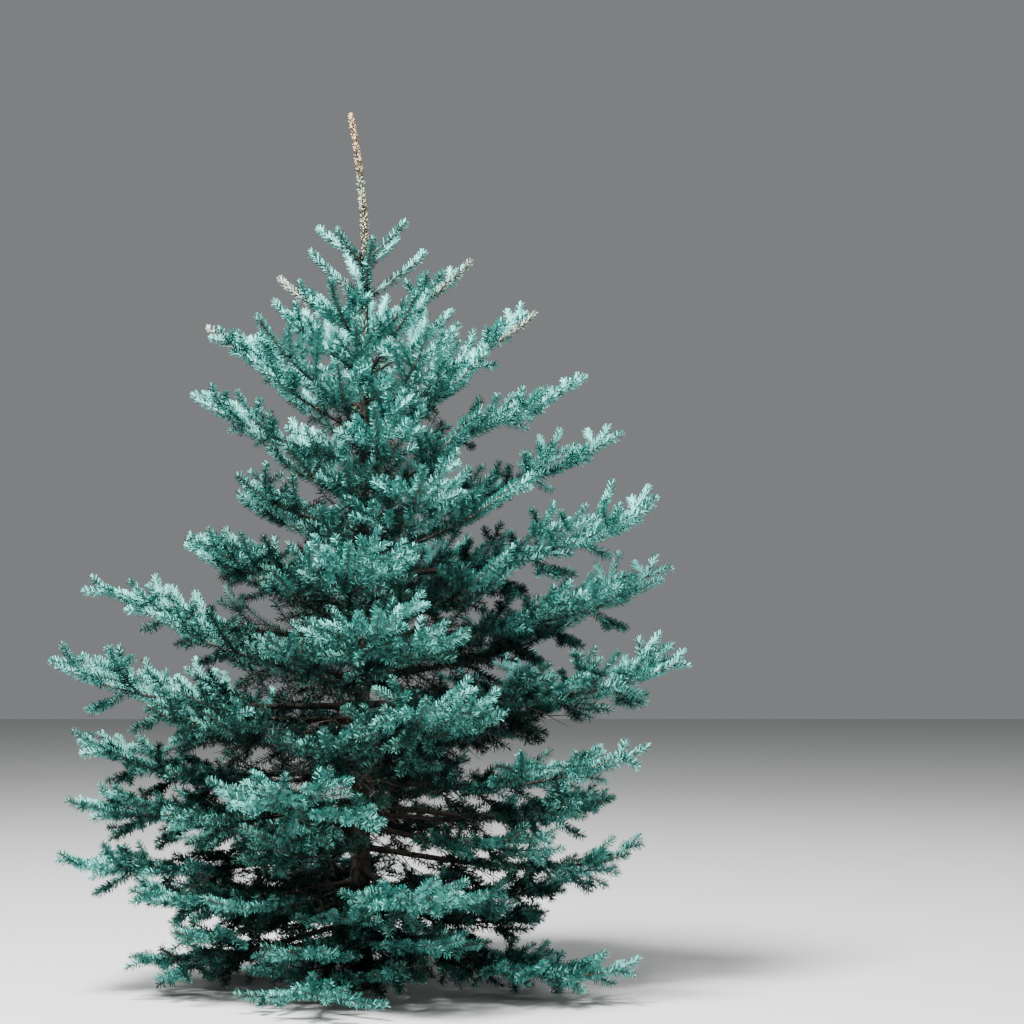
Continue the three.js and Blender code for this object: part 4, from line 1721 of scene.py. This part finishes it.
class Spruce:
    """The whole tree: its trunk, boughs, twigs, needles, buds and dead wood."""

    MOST_TRIANGLES = 190_000

    def __init__(self) -> None:
        """Grow every bough."""
        self.form = TrunkForm()
        random = SeededRandom(SEED)
        habit = BoughHabit()
        self.lines = [
            BoughLine(tier, place, self.form, habit, random)
            for tier in TIERS + INNER_TIERS
            for place in range(len(tier.bearings))
        ]
        space = CrownSpace(self.lines, self.form, TwigHabit())
        self.foliage = [
            BoughFoliage(line, owner, space, space.habit, random) for owner, line in enumerate(self.lines)
        ]
        self.twigs = [twig for foliage in self.foliage for twig in foliage.twigs]

    def nodes(self, start: str) -> list[str]:
        """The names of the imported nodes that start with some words."""
        return [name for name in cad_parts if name.startswith(start)]

    def hold(self, piece: bpy.types.Object, nodes: Iterable[str] = ()) -> None:
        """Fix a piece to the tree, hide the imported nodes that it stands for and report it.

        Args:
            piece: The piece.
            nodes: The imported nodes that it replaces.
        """
        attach(piece, "root")
        if nodes:
            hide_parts(*nodes)
        log.info("%s: %d faces", piece.name, len(piece.data.polygons))

    def build(self, finishes: Finishes) -> None:
        """Make every piece.

        Args:
            finishes: The materials.
        """
        leader = Leader(self.form).twigs()
        dead = [twig for foliage in self.foliage for twig in foliage.dead]
        barks = [finishes.bough, finishes.young]
        self.hold(TrunkWood(self.form).build(finishes.trunk), ["trunk"])
        self.hold(BoughWood().build(self.lines, barks), self.nodes("bough_"))
        self.hold(TwigWood().build("twigs", self.twigs, finishes.twig))
        self.hold(TwigWood().build("dead_twigs", dead, finishes.dead))
        self.hold(Buds().build(self.twigs + leader, finishes.bud))
        self.build_needles(finishes, leader)
        log.info("%d twigs, %.0f m of them", len(self.twigs), sum(twig.length for twig in self.twigs))

    def build_needles(self, finishes: Finishes, leader: list[Twig]) -> None:
        """Make the needles, each tier's front and back half apart, and the leader's with the first.

        Args:
            finishes: The materials.
            leader: The leader's curves.
        """
        form = NeedleForm()
        density = form.per_metre(self.twigs)
        total = 0
        tiers = [("tier", i, tier) for i, tier in enumerate(TIERS, 1)]
        tiers += [("inner", i, tier) for i, tier in enumerate(INNER_TIERS, 1)]
        for (kind, i, tier), (half, sign) in product(tiers, (("front", -1), ("back", 1))):
            chosen = [f for f in self.foliage if f.line.tier is tier and f.line.outward[1] * sign > 0]
            twigs = [twig for foliage in chosen for twig in foliage.twigs]
            if not twigs:
                continue
            if tier is TIERS[0] and half == "front":
                twigs += leader
            parts = MeshParts()
            total += form.add_to(parts, twigs, density, np.random.default_rng(SEED + total))
            piece = parts.piece(f"needles_{kind}_{i:02d}_{half}", finishes.needles)
            self.hold(piece, self.nodes(f"foliage_tier_{i:02d}_") if kind == "tier" else ())
            if len(piece.data.polygons) > self.MOST_TRIANGLES:
                log.warning("%s has too many faces", piece.name)
        log.info("%d needles, %.0f on a metre", total, density)


@dataclass(frozen=True)
class Lamp:
    """A square soft lamp that points at the tree."""

    name: str
    place: tuple[float, float, float]
    size: float
    power: float


@dataclass(frozen=True)
class Studio:
    """The floor, the lights and the camera."""

    distance: float = 12.0
    eye_height: float = 1.5
    camera_x: float = 0.608
    aim_height: float = 1.9
    view_angle: float = 19.4
    floor_size: float = 60.0
    floor_colour: Colour = (0.42, 0.43, 0.42, 1)
    floor_roughness: float = 0.9
    sky_colour: Colour = (0.84, 0.87, 0.89, 1)
    sky_strength: float = 0.25
    lit_height: float = 1.6
    lamps: tuple[Lamp, ...] = (
        Lamp("key", (-2.8, -4.8, 10.5), 3.5, 8600.0),
        Lamp("fill", (6.5, -6.0, 5.0), 5.0, 200.0),
        Lamp("back", (1.0, 7.0, 8.0), 5.0, 420.0),
    )

    def build(self) -> None:
        """Set the studio up."""
        self.add_floor()
        self.add_lights()
        self.add_camera()

    def add_floor(self) -> None:
        """Lay a plain pale floor."""
        Modelling.nothing_selected()
        bpy.ops.mesh.primitive_plane_add(size=self.floor_size, location=(0, 0, 0))
        floor = bpy.context.object
        floor.name = "floor"
        material = bpy.data.materials.new("floor_pale")
        material.use_nodes = True
        shader = material.node_tree.nodes["Principled BSDF"]
        shader.inputs["Base Color"].default_value = self.floor_colour
        shader.inputs["Roughness"].default_value = self.floor_roughness
        floor.data.materials.append(material)

    def add_lights(self) -> None:
        """Light the tree softly from all round, with one broad lamp high on the left of the front."""
        world = bpy.data.worlds.new("studio")
        bpy.context.scene.world = world
        world.use_nodes = True
        background = world.node_tree.nodes["Background"]
        background.inputs["Color"].default_value = self.sky_colour
        background.inputs["Strength"].default_value = self.sky_strength
        for lamp in self.lamps:
            light = bpy.data.lights.new(lamp.name, "AREA")
            light.size, light.energy = lamp.size, lamp.power
            aim = Vector((0, 0, self.lit_height)) - Vector(lamp.place)
            holder = bpy.data.objects.new(lamp.name, light)
            holder.location = lamp.place
            holder.rotation_euler = aim.to_track_quat("-Z", "Y").to_euler()
            bpy.context.collection.objects.link(holder)

    def add_camera(self) -> None:
        """Stand the camera where the photograph was taken from."""
        camera = bpy.data.objects.new("camera", bpy.data.cameras.new("camera"))
        camera.location = (self.camera_x, -self.distance, self.eye_height)
        aim = Vector((self.camera_x, 0, self.aim_height)) - camera.location
        camera.rotation_euler = aim.to_track_quat("-Z", "Y").to_euler()
        camera.data.angle = math.radians(self.view_angle)
        bpy.context.collection.objects.link(camera)
        bpy.context.scene.camera = camera


def main() -> None:
    """Build the tree and the studio."""
    logging.basicConfig(level=logging.INFO, format="%(message)s")
    Spruce().build(Finishes())
    Studio().build()


if __name__ == "__main__":
    main()
